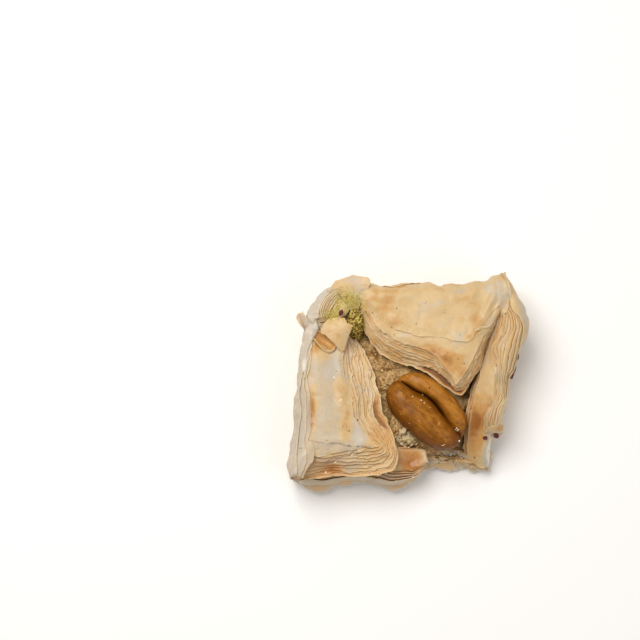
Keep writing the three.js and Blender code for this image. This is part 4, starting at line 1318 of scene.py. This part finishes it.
def on_flat_floor(top, level):
    """A mound's top, as spokes by rings from the middle out, with a flat floor added under it."""
    floor = top[:, [-1, top.shape[1] // 2, 0]].copy()
    floor[..., 2] = level
    return np.concatenate([top, floor], axis=1)


def filling(material):
    """The mound of ground nuts between the flaps."""
    pile = Pile()
    spokes, rings = 380, 82
    angle = np.linspace(0, 2 * np.pi, spokes, endpoint=False)
    c, s = np.cos(angle), np.sin(angle)
    n = FILLING["squareness"]
    radius = (np.abs(c) ** n + np.abs(s) ** n) ** (-1 / n)
    r = np.linspace(0.006, 1, rings)[None, :]
    x = FILLING["centre"][0] + FILLING["reach"][0] * (radius * c)[:, None] * r
    y = FILLING["centre"][1] + FILLING["reach"][1] * (radius * s)[:, None] * r
    grid = on_flat_floor(np.stack([x, y, filling_height(x, y, r)], axis=-1), FILLING["floor"])
    # Painted shadow on the filling in the gaps beside the nut's far end and above the stub, carried by lower
    # leaf values.
    shaded = spot_at(area(14.6, -12.4, 2.4, 4.6), grid[..., :2])
    shaded = shaded + spot_at(area(0.8, -15.6, 4.2, 0.8, sharp=1.5), grid[..., :2])
    tone = 0.5 + 0.5 * field(grid[..., 0], grid[..., 1], 1.3, 405)
    pile.body(grid[:, ::-1], shade_of(grid.shape[:2], tone=tone, leaf=0.5 - 0.4 * shaded)[:, ::-1])
    return pile.piece("ground_nuts", material, "nut_filling")


# ---- Nut ----


def nut_half(name, is_near, material):
    """One of the kernel's two halves, which lie side by side along the cleft."""
    pile = Pile()
    share = np.sin(np.linspace(-0.995, 0.995, 110) * np.pi / 2)[None, :]
    turn = np.linspace(0, 2 * np.pi, 120, endpoint=False)[:, None]
    round_off = (1 - np.abs(share) ** NUT["roundness"]) ** (1 / NUT["roundness"])
    apex = NUT["apex"]
    cleft = np.interp(share, *soft_line(NUT["cleft"], 0.3).T)
    cleft = apex + (cleft - apex) * np.minimum(1, 1.6 * round_off)
    near_side = apex + (NUT["near_side"] - apex) * round_off
    far_side = apex + (NUT["far_side"][0] + NUT["far_side"][1] * share - apex) * round_off
    near_ridge = apex + (NUT["near_ridge"][0] + NUT["near_ridge"][1] * share - apex) * round_off
    gap = NUT["gap"] * np.sqrt(round_off) - 0.5 * smoothstep(share, 0.2, 0.75) * round_off
    if is_near:
        low, high, ridge, up = near_side, np.minimum(cleft, far_side) - gap, near_ridge, NUT["near_up"]
    else:
        low, high, up = cleft + gap, np.maximum(far_side, cleft + gap), NUT["far_up"]
        ridge = (low + high) / 2
    c, s = np.cos(turn), np.sin(turn)
    steep = (0.55 if is_near else 0.6) + 0.25 * smoothstep(share, 0.0, 0.8)
    at_cleft = c > 0 if is_near else c < 0
    power = np.where(at_cleft & (s > 0), steep, 0.88)
    across = ridge + np.where(c > 0, high - ridge, ridge - low) * np.sign(c) * np.abs(c) ** power
    thick = round_off if is_near else round_off * smoothstep(high - low, 0, 4.0)
    lift = np.where(s > 0, up, NUT["down"]) * thick * np.sign(s) * np.abs(s) ** power
    if is_near:
        open_groove = smoothstep(share, -0.95, -0.6) * (1 - smoothstep(share, 0.25, 0.75))
        to_cleft = np.clip((across - ridge) / np.maximum(high - ridge, 0.1), 0, 1)
        lift = lift - NUT["groove"] * open_groove * round_off * to_cleft**1.5 * (s > 0)
    along = NUT["half_length"] * (1 if is_near else 0.97) * share * np.ones_like(turn)
    dent = 0.3 * field(along * 0.6, across, 2.6, 501 + is_near) + 0.1 * field(along * 0.3, across, 0.9, 503)
    lift = lift + dent * thick * np.maximum(s, 0)
    heading, dip = math.radians(NUT["heading"]), math.radians(NUT["dip"])
    long = np.array([math.cos(heading) * math.cos(dip), math.sin(heading) * math.cos(dip), -math.sin(dip)])
    side = np.array([-math.sin(heading), math.cos(heading), 0])
    up_way = np.cross(long, side)
    grid = along[..., None] * long + across[..., None] * side + lift[..., None] * up_way
    grid = grid + np.array(NUT["centre"])
    # Painted shade: the tone is darker along the cleft, on the underside and lighter on top, towards the far
    # end, and down the near half's outer flank.
    painted_cleft_shade = np.exp(-np.abs(across - cleft) / 1.2) * (0.8 if is_near else 0.4)
    ends = smoothstep(np.abs(share), 0.6, 1.0) * (share > 0)
    tone = (0.38 if is_near else 0.56) + 0.3 * s - (0.32 if is_near else 0.22) * painted_cleft_shade - 0.3 * ends
    tone = tone - 0.2 * smoothstep(-(across - ridge) / 6, 0.2, 1) * is_near
    pile.body(grid, shade_of(grid.shape[:2], tone=tone, leaf=0.2 if is_near else 0.8))
    return pile.piece(name, material, "roasted_nut")


# ---- Toppings ----


class Ground:
    """Finds the top of the finished pieces under a place."""

    def __init__(self, pieces):
        view = bpy.context.evaluated_depsgraph_get()
        self.trees = [(piece.name, BVHTree.FromObject(piece, view)) for piece in pieces]

    def under(self, x, y):
        """The topmost hit: its place, the way it faces and the name of its piece, or nothing."""
        best = None
        start = Vector((x, y, RAY_START)) * MM
        for name, tree in self.trees:
            place, normal, _, _ = tree.ray_cast(start, Vector((0, 0, -1)), RAY_REACH * MM)
            if place is not None and (best is None or place.z > best[0].z):
                best = (place, normal, name)
        return best


def scattered(ground, spots, count, rng, on=None, level=0.25):
    """Random places on the pieces round some spots, with the way the surface faces.

    Those where it faces up by less than `level` are left out.
    """
    weights = np.array([spot["much"] * spot["size"][0] * spot["size"][1] for spot in spots])
    chosen = rng.choice(len(spots), count, p=weights / weights.sum())
    made = []
    for k in chosen:
        spot = spots[k]
        turn = math.radians(spot["turn"])
        first, second = rng.normal(size=2) * np.array(spot["size"]) * 0.7
        x = spot["at"][0] + first * math.cos(turn) - second * math.sin(turn)
        y = spot["at"][1] + first * math.sin(turn) + second * math.cos(turn)
        hit = ground.under(x, y)
        if hit is not None and (on is None or hit[2] in on) and hit[1].z > level:
            made.append((*(hit[0] / MM), *hit[1]))
    return np.array(made).reshape(-1, 6)


def tones_of(rng, count, low, high, leaf=0.5):
    """Shade values of single crumbs, with random tones."""
    shade = np.zeros((count, 4))
    shade[:, 0] = rng.uniform(low, high, count)
    shade[:, 2] = leaf
    return shade


def strew(pile, places, rng, least, more, power, lift, tones, leaf=0.5):
    """Crumbs at some places. The higher the power, the more of them are small."""
    sizes = least + more * rng.random(len(places)) ** power
    raised = places[:, :3] + places[:, 3:] * sizes[:, None] * lift
    pile.crumbs(raised, sizes, tones_of(rng, len(places), *tones, leaf), rng)


def pistachio(ground, material):
    """Dust and crumbs of pistachio."""
    rng = np.random.default_rng(801)
    pile = Pile()
    dust = scattered(ground, DUSTED, 3700, rng)
    strew(pile, dust, rng, 0.035, 0.12, power=4, lift=0.4, tones=(0.3, 1.3))
    spots = [area(-13.0, 15.2, 1.8, 2.9, turn=8, much=1)]
    clumps = scattered(ground, spots, 1500, rng, on=("pistachio_heap",), level=-1)
    strew(pile, clumps, rng, 0.09, 0.25, power=2, lift=0.3, tones=(-0.2, 1.1))
    dark = scattered(ground, [area(10.8, -17.6, 2.4, 1.0, much=1)], 160, rng)
    strew(pile, dark, rng, 0.06, 0.16, power=2, lift=0.2, tones=(-0.3, 0.3))
    strays = scattered(ground, [area(-4.0, 2.0, 13.0, 13.0, much=1)], 60, rng)
    strew(pile, strays, rng, 0.06, 0.09, power=1, lift=0.4, tones=(0, 1))
    return pile.piece("pistachio_crumbs", material, "pistachio", smooth=False)


def pistachio_heap(material):
    """The mound of ground pistachio in the gap beside the upper corner."""
    pile = Pile()
    angle = np.linspace(0, 2 * np.pi, 90, endpoint=False)[:, None]
    r = np.linspace(0.01, 1, 40)[None, :]
    x = HEAP["at"][0] + HEAP["size"][0] * r * np.cos(angle)
    y = HEAP["at"][1] + HEAP["size"][1] * r * np.sin(angle)
    z = HEAP["top"] - (HEAP["top"] - HEAP["floor"]) * r**4
    z = z + fields(x, y, (0.9, 1.5, 781), (0.4, 0.6, 782)) * (1 - r**4)
    grid = on_flat_floor(np.stack([x, y, z], axis=-1), HEAP["floor"])
    x, y = grid[..., 0], grid[..., 1]
    # Painted light: paler towards the heap's back end.
    tone = 0.25 + 0.5 * field(x, y, 1.5, 781) + 0.2 * smoothstep(y, 15, 20)
    pile.body(grid[:, ::-1], shade_of(grid.shape[:2], tone=tone)[:, ::-1])
    return pile.piece("pistachio_heap", material, "pistachio")


def nut_grains(ground, material):
    """Loose grains on the filling and on the open base."""
    rng = np.random.default_rng(811)
    pile = Pile()
    spots = [
        area(-2.0, 0.0, 11.0, 11.0, much=1),
        area(-4.0, -9.0, 5.0, 5.0, much=2),
        area(10.0, -16.4, 5.6, 1.8, much=1.6),
    ]
    grains = scattered(ground, spots, 1700, rng, on=("ground_nuts", "phyllo_base"))
    strew(pile, grains, rng, 0.14, 0.3, power=2, lift=0.2, tones=(0.2, 1.2))
    spots = [area(-0.4, -13.0, 2.2, 1.6, much=1)]
    clumps = scattered(ground, spots, 40, rng, on=("ground_nuts",))
    strew(pile, clumps, rng, 0.35, 0.4, power=1, lift=0, tones=(0.7, 1), leaf=1)
    pale = np.array([(*ground.under(x, y)[0] / MM,) for x, y in PALE_LUMPS])
    for spread, size in ((0.0, 0.72), (0.45, 0.4), (0.55, 0.3)):
        places = pale + rng.normal(size=pale.shape) * spread + (0, 0, 0.25)
        sizes = size * rng.uniform(0.8, 1.2, len(pale))
        pile.crumbs(places, sizes, tones_of(rng, len(pale), 0.9, 1.4, leaf=1), rng)
    spots = [area(-4.0, 1.0, 5.0, 9.0, much=1), area(14.0, -3.0, 3.0, 3.0, much=1)]
    coarse = scattered(ground, spots, 350, rng, on=("ground_nuts",))
    strew(pile, coarse, rng, 0.2, 0.3, power=2, lift=0, tones=(0.5, 1.3), leaf=0.75)
    return pile.piece("nut_grains", material, "nut_filling", smooth=False)


def syrup(ground, material):
    """Small drops of syrup."""
    rng = np.random.default_rng(821)
    pile = Pile()
    spots = [area(*at, 0.25, 0.25, much=1) for at in DROPS]
    drops = scattered(ground, spots, 60, rng)
    loose = scattered(ground, [area(-12.0, -8.0, 12.0, 12.0, much=1)], 50, rng)
    places = np.concatenate([drops, loose])
    sizes = 0.08 + 0.11 * rng.random(len(places)) ** 1.5
    sizes[len(drops) :] *= 0.6
    turn = np.linspace(0, 2 * np.pi, 9, endpoint=False)[:, None]
    polar = np.linspace(0.05, np.pi - 0.05, 7)[None, :]
    ball = [np.sin(polar) * np.cos(turn), np.sin(polar) * np.sin(turn), -np.cos(polar) * np.ones_like(turn)]
    ball = np.stack(ball, axis=-1)
    for place, size in zip(places, sizes):
        flat = ball * [1, 1, 0.6] * size * rng.uniform(0.8, 1.2, 3)
        pile.body(flat + place[:3], shade_of(ball.shape[:2], tone=0.5))
    return pile.piece("syrup_drops", material, "syrup")


def petals(ground, material):
    """Bits of dried petal."""
    rng = np.random.default_rng(831)
    pile = Pile()
    for k, (x, y, long, wide, turn, slope, high) in enumerate(PETALS):
        level = high if high is not None else ground.under(x, y)[0].z / MM + 0.15
        angle = np.linspace(0, 2 * np.pi, 14, endpoint=False)
        first, second = long * np.cos(angle), wide * np.sin(angle) * (1 + 0.3 * np.cos(angle))
        c, s = math.cos(math.radians(turn)), math.sin(math.radians(turn))
        rim = [
            (x + u * c - v * s, y + u * s + v * c, level + 0.3 * rng.random() + 0.1 * abs(u) + slope * v)
            for u, v in zip(first, second)
        ]
        leaf = dict(rim=rim, middle=(x, y, level), tone=0.5, rings=8, crumple=0.1)
        add_leaf(pile, leaf, 840 + 7 * k)
    return pile.piece("petal_bits", material, "petal")


def specks(ground, material):
    """Tiny dark bits of spice and toasted crust."""
    rng = np.random.default_rng(851)
    pile = Pile()
    spots = [area(*at, 0.3, 0.3, much=1) for at in SPECKS]
    placed = scattered(ground, spots, 40, rng)
    loose = scattered(ground, [area(0, 0, 16, 16, much=1)], 90, rng)
    places = np.concatenate([placed, loose])
    strew(pile, places, rng, 0.06, 0.12, power=2, lift=0, tones=(0, 0.1), leaf=0)
    return pile.piece("dark_specks", material, "nut_filling", smooth=False)


# ---- Materials ----


def linear(value):
    """The share of light that a screen value from 0 to 255 stands for."""
    share = value / 255
    return share / 12.92 if value <= 10 else ((share + 0.055) / 1.055) ** 2.4


def srgb(red, green, blue):
    """A colour given in screen values from 0 to 255."""
    return (linear(red), linear(green), linear(blue), 1)


class Nodes:
    """Short names for building a material's node tree."""

    def __init__(self, name):
        self.material = bpy.data.materials.new(name)
        self.material.use_nodes = True
        self.tree = self.material.node_tree
        self.tree.nodes.clear()
        self.shader = self.make("ShaderNodeBsdfPrincipled")
        output = self.make("ShaderNodeOutputMaterial")
        self.link(self.shader.outputs[0], output.inputs[0])
        self.place = self.make("ShaderNodeTexCoord").outputs["Object"]

    def make(self, kind, **settings):
        node = self.tree.nodes.new(kind)
        for key, value in settings.items():
            setattr(node, key, value)
        return node

    def link(self, source, target):
        self.tree.links.new(source, target)

    def put(self, socket, value):
        if isinstance(value, bpy.types.NodeSocket):
            self.link(value, socket)
        else:
            socket.default_value = value

    def noise(self, size, detail=3.0, rough=0.55, stretch=None):
        """Noise from 0 to 1 whose features are `size` millimetres across."""
        node = self.make("ShaderNodeTexNoise")
        node.inputs["Scale"].default_value = 1 / (size * MM)
        node.inputs["Detail"].default_value = detail
        node.inputs["Roughness"].default_value = rough
        place = self.place
        if stretch:
            mapping = self.make("ShaderNodeMapping", vector_type="TEXTURE")
            mapping.inputs["Rotation"].default_value = stretch[0]
            mapping.inputs["Scale"].default_value = stretch[1]
            self.link(place, mapping.inputs["Vector"])
            place = mapping.outputs[0]
        self.link(place, node.inputs["Vector"])
        return node.outputs["Fac"]

    def ramp(self, value, low, high, start=0.0, end=1.0):
        node = self.make("ShaderNodeMapRange", interpolation_type="SMOOTHSTEP")
        self.link(value, node.inputs["Value"])
        for key, number in (("From Min", low), ("From Max", high), ("To Min", start), ("To Max", end)):
            node.inputs[key].default_value = number
        return node.outputs["Result"]

    def math(self, operation, a, b=0.0):
        node = self.make("ShaderNodeMath", operation=operation)
        self.put(node.inputs[0], a)
        self.put(node.inputs[1], b)
        return node.outputs[0]

    def mix(self, share, a, b, blend="MIX"):
        node = self.make("ShaderNodeMix", data_type="RGBA", blend_type=blend)
        self.put(node.inputs[0], share)
        self.put(node.inputs[6], a)
        self.put(node.inputs[7], b)
        return node.outputs[2]

    def graded(self, value, colour, *steps):
        """A colour that a value changes by steps: from where, to where, and into which colour."""
        for low, high, next_colour in steps:
            colour = self.mix(self.ramp(value, low, high), colour, next_colour)
        return colour

    def parts(self, name):
        """The channels of one of the mesh's attributes."""
        node = self.make("ShaderNodeAttribute", attribute_name=name)
        parts = self.make("ShaderNodeSeparateColor")
        self.link(node.outputs["Color"], parts.inputs[0])
        return parts.outputs[0], parts.outputs[1], parts.outputs[2], node.outputs["Alpha"]

    def bump(self, height, distance, strength, under=None):
        node = self.make("ShaderNodeBump")
        node.inputs["Distance"].default_value = distance * MM
        node.inputs["Strength"].default_value = strength
        self.link(height, node.inputs["Height"])
        if under is not None:
            self.link(under, node.inputs["Normal"])
        return node.outputs[0]

    def set(self, **sockets):
        for key, value in sockets.items():
            self.put(self.shader.inputs[key.replace("_", " ")], value)


def centred(n, value, much):
    """A value from 0 to 1 as one round 0."""
    return n.math("MULTIPLY", n.math("SUBTRACT", value, 0.5), much)


def phyllo_material():
    """Baked phyllo: its tone, painted shade in the crevices, paler rims that are partly a painted highlight,
    syrup and pistachio dust.
    """
    n = Nodes("phyllo")
    tone, depth, leaf, edge = n.parts("look")
    wet, dust, _, _ = n.parts("film")
    broad = centred(n, n.noise(8, 2), 1.0)
    patch = centred(n, n.noise(2.6, 4), 0.75)
    own = centred(n, leaf, 0.2)
    toned = n.math("ADD", n.math("ADD", tone, broad), n.math("ADD", patch, own))
    colour = n.graded(
        toned,
        srgb(236, 220, 202),
        (-0.8, -0.25, srgb(198, 181, 162)),
        (-0.15, 0.15, srgb(200, 177, 149)),
        (0.15, 0.45, srgb(212, 177, 130)),
        (0.5, 0.85, srgb(200, 148, 86)),
        (0.9, 1.3, srgb(158, 100, 42)),
    )
    spots = n.ramp(n.noise(0.9, 4), 0.66, 0.78, 0, 0.4)
    colour = n.mix(spots, colour, srgb(184, 130, 70))
    # Painted shade in the crevices under the sheet above: warm brown, and darkest in a parting's gap.
    colour = n.mix(n.ramp(depth, 0, 0.8, 0, 0.75), colour, srgb(190, 128, 64))
    colour = n.mix(n.ramp(depth, 0.7, 1.0, 0, 0.85), colour, srgb(112, 70, 30))
    # Paler rims along free edges: partly the edges' own colour, partly a painted highlight.
    colour = n.mix(n.ramp(edge, 0.15, 0.9, 0, 0.5), colour, srgb(228, 202, 160))
    colour = n.mix(n.math("MULTIPLY", wet, 0.6), colour, srgb(196, 140, 74), blend="MULTIPLY")
    powder = n.math("MULTIPLY", dust, n.ramp(n.noise(0.7, 5, 0.7), 0.3, 0.6, 0.45, 1))
    colour = n.mix(powder, colour, srgb(214, 197, 116))
    fine = n.bump(n.noise(0.45, 4, 0.65), 0.035, 0.8)
    crumple = n.bump(n.noise(1.7, 4), 0.35, 0.7, fine)
    shine = n.ramp(n.noise(2.5, 3), 0.35, 0.65, 0.36, 0.6)
    n.set(
        Base_Color=colour,
        Roughness=n.math("MAXIMUM", n.math("SUBTRACT", shine, n.math("MULTIPLY", wet, 0.32)), 0.12),
        Specular_IOR_Level=0.38,
        Normal=crumple,
        Subsurface_Weight=0.3,
        Subsurface_Radius=(1.0, 0.5, 0.2),
        Subsurface_Scale=0.0014,
    )
    return n.material


def filling_material():
    """Ground nuts."""
    n = Nodes("ground_nuts")
    tone, _, leaf, _ = n.parts("look")
    grains = n.math("ADD", centred(n, n.noise(0.5, 5, 0.7), 1.5), tone)
    colour = n.mix(n.ramp(grains, 0.0, 0.9), srgb(142, 98, 44), srgb(206, 170, 112))
    colour = n.mix(n.ramp(n.noise(1.2, 3), 0.62, 0.72, 0, 0.45), colour, srgb(112, 72, 30))
    colour = n.mix(n.ramp(leaf, 0.6, 1, 0, 0.75), colour, srgb(206, 188, 148))
    # Low leaf values darken: the dark specks' own colour, and painted shadow on the filling beside the nut
    # and the stub.
    colour = n.mix(n.ramp(leaf, 0.4, 0, 0, 1), colour, srgb(60, 36, 18))
    n.set(Base_Color=colour, Roughness=0.42, Normal=n.bump(n.noise(0.5, 5, 0.7), 0.2, 0.8))
    return n.material


def nut_material():
    """The roasted kernel, streaked along its length."""
    n = Nodes("roasted_nut")
    tone, _, _, _ = n.parts("look")
    along = ((0, 0, math.radians(NUT["heading"])), (4, 1, 1))
    streaks = centred(n, n.noise(0.8, 5, 0.65, along), 0.9)
    cloudy = centred(n, n.noise(2.6, 3), 0.7)
    # The tone from the halves carries painted shade as well as the kernel's own colour.
    toned = n.math("ADD", tone, n.math("ADD", streaks, cloudy))
    steps = (0.0, 0.45, srgb(122, 70, 8)), (0.45, 1.0, srgb(176, 116, 38))
    colour = n.graded(toned, srgb(70, 32, 4), *steps)
    grain = n.bump(n.noise(0.8, 4, 0.6, along), 0.07, 0.7)
    n.set(
        Base_Color=colour,
        Roughness=n.ramp(n.noise(1.2, 4), 0.3, 0.7, 0.34, 0.52),
        Specular_IOR_Level=0.17,
        Normal=grain,
        Coat_Weight=0.08,
        Coat_Roughness=0.3,
        Subsurface_Weight=0.1,
        Subsurface_Radius=(1.0, 0.4, 0.15),
        Subsurface_Scale=0.001,
    )
    return n.material


def pistachio_material():
    """Ground pistachio."""
    n = Nodes("pistachio")
    tone, _, _, _ = n.parts("look")
    grains = n.math("ADD", tone, centred(n, n.noise(0.35, 4, 0.7), 1.0))
    colour = n.mix(n.ramp(grains, 0.0, 0.45), srgb(92, 64, 16), srgb(172, 142, 54))
    colour = n.mix(n.ramp(grains, 0.45, 1.0), colour, srgb(216, 198, 110))
    rough = n.bump(n.noise(0.35, 4, 0.7), 0.2, 0.8)
    n.set(Base_Color=colour, Roughness=0.8, Specular_IOR_Level=0.25, Normal=rough)
    return n.material


def petal_material():
    """Dried petal."""
    n = Nodes("petal")
    colour = n.mix(n.ramp(n.noise(0.6, 3), 0.35, 0.65), srgb(60, 6, 16), srgb(110, 16, 24))
    n.set(Base_Color=colour, Roughness=0.6)
    return n.material


def syrup_and_glint_material():
    """Sugar syrup: glossy, with a near-white colour that paints the glints on its clear drops."""
    n = Nodes("syrup")
    n.set(Base_Color=srgb(250, 236, 208), Roughness=0.06, Coat_Weight=0.6, Coat_Roughness=0.04)
    return n.material


# ---- Stage ----


def stage():
    """A pale floor, soft lights, and the camera where the photographer held it, high over the near edge."""
    floor_mesh = bpy.data.meshes.new("floor")
    half = FLOOR_HALF
    corners = [(-half, -half, 0), (half, -half, 0), (half, half, 0), (-half, half, 0)]
    floor_mesh.from_pydata(corners, [], [(0, 1, 2, 3)])
    floor = bpy.data.objects.new("floor", floor_mesh)
    bpy.context.scene.collection.objects.link(floor)
    n = Nodes("floor")
    n.set(Base_Color=srgb(243, 243, 242), Roughness=0.7)
    floor_mesh.materials.append(n.material)
    floor.location.z = FLOOR_LEVEL

    world = bpy.data.worlds.new("studio")
    bpy.context.scene.world = world
    world.use_nodes = True
    background = world.node_tree.nodes["Background"]
    background.inputs[0].default_value = (*WARM_WHITE, 1)
    background.inputs[1].default_value = WORLD_STRENGTH

    area_light("key", (-0.15, 0.15, 0.42), 0.28, 2.0, WARM_WHITE)
    area_light("fill", (0.36, -0.2, 0.4), 0.5, 0.85, (1.0, 0.98, 0.96))

    camera_data = bpy.data.cameras.new("camera")
    camera = bpy.data.objects.new("camera", camera_data)
    bpy.context.scene.collection.objects.link(camera)
    camera_data.lens = CAMERA_LENS
    camera_data.sensor_width = CAMERA_SENSOR
    camera_data.clip_start = CAMERA_NEAREST
    camera.location = CAMERA_PLACE
    camera.rotation_euler = (math.radians(CAMERA_TILT), 0, 0)
    bpy.context.scene.camera = camera
    bpy.context.scene.view_settings.view_transform = "Standard"


def area_light(name, place, size, power, colour):
    """A square light that shines at the middle of the part's foot."""
    data = bpy.data.lights.new(name, "AREA")
    data.size = size
    data.energy = power
    data.color = colour
    light = bpy.data.objects.new(name, data)
    light.location = place
    light.rotation_euler = (-Vector(place)).to_track_quat("-Z", "Y").to_euler()
    bpy.context.scene.collection.objects.link(light)


# ---- Assembly ----

stage()
phyllo = phyllo_material()
nuts = filling_material()
roasted = nut_material()
folds = [Fold(name, spec, 11 + 10 * k) for k, (name, spec) in enumerate(FLAPS.items())]
pieces = [flap(fold, phyllo) for fold in folds]
bottom_sheets = base(phyllo)
packed = filling(nuts)
near_half = nut_half("nut_near", True, roasted)
far_half = nut_half("nut_far", False, roasted)
green = pistachio_material()
pieces += [bottom_sheets, packed, near_half, far_half]
pieces += [leaves(phyllo, Ground(pieces)), pistachio_heap(green)]
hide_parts("pastry")
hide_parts("filling")
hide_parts("nut_half_upper")
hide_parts("nut_half_lower")
ground = Ground(pieces)
nut_grains(ground, nuts)
pistachio(ground, green)
syrup(ground, syrup_and_glint_material())
petals(ground, petal_material())
specks(ground, nuts)
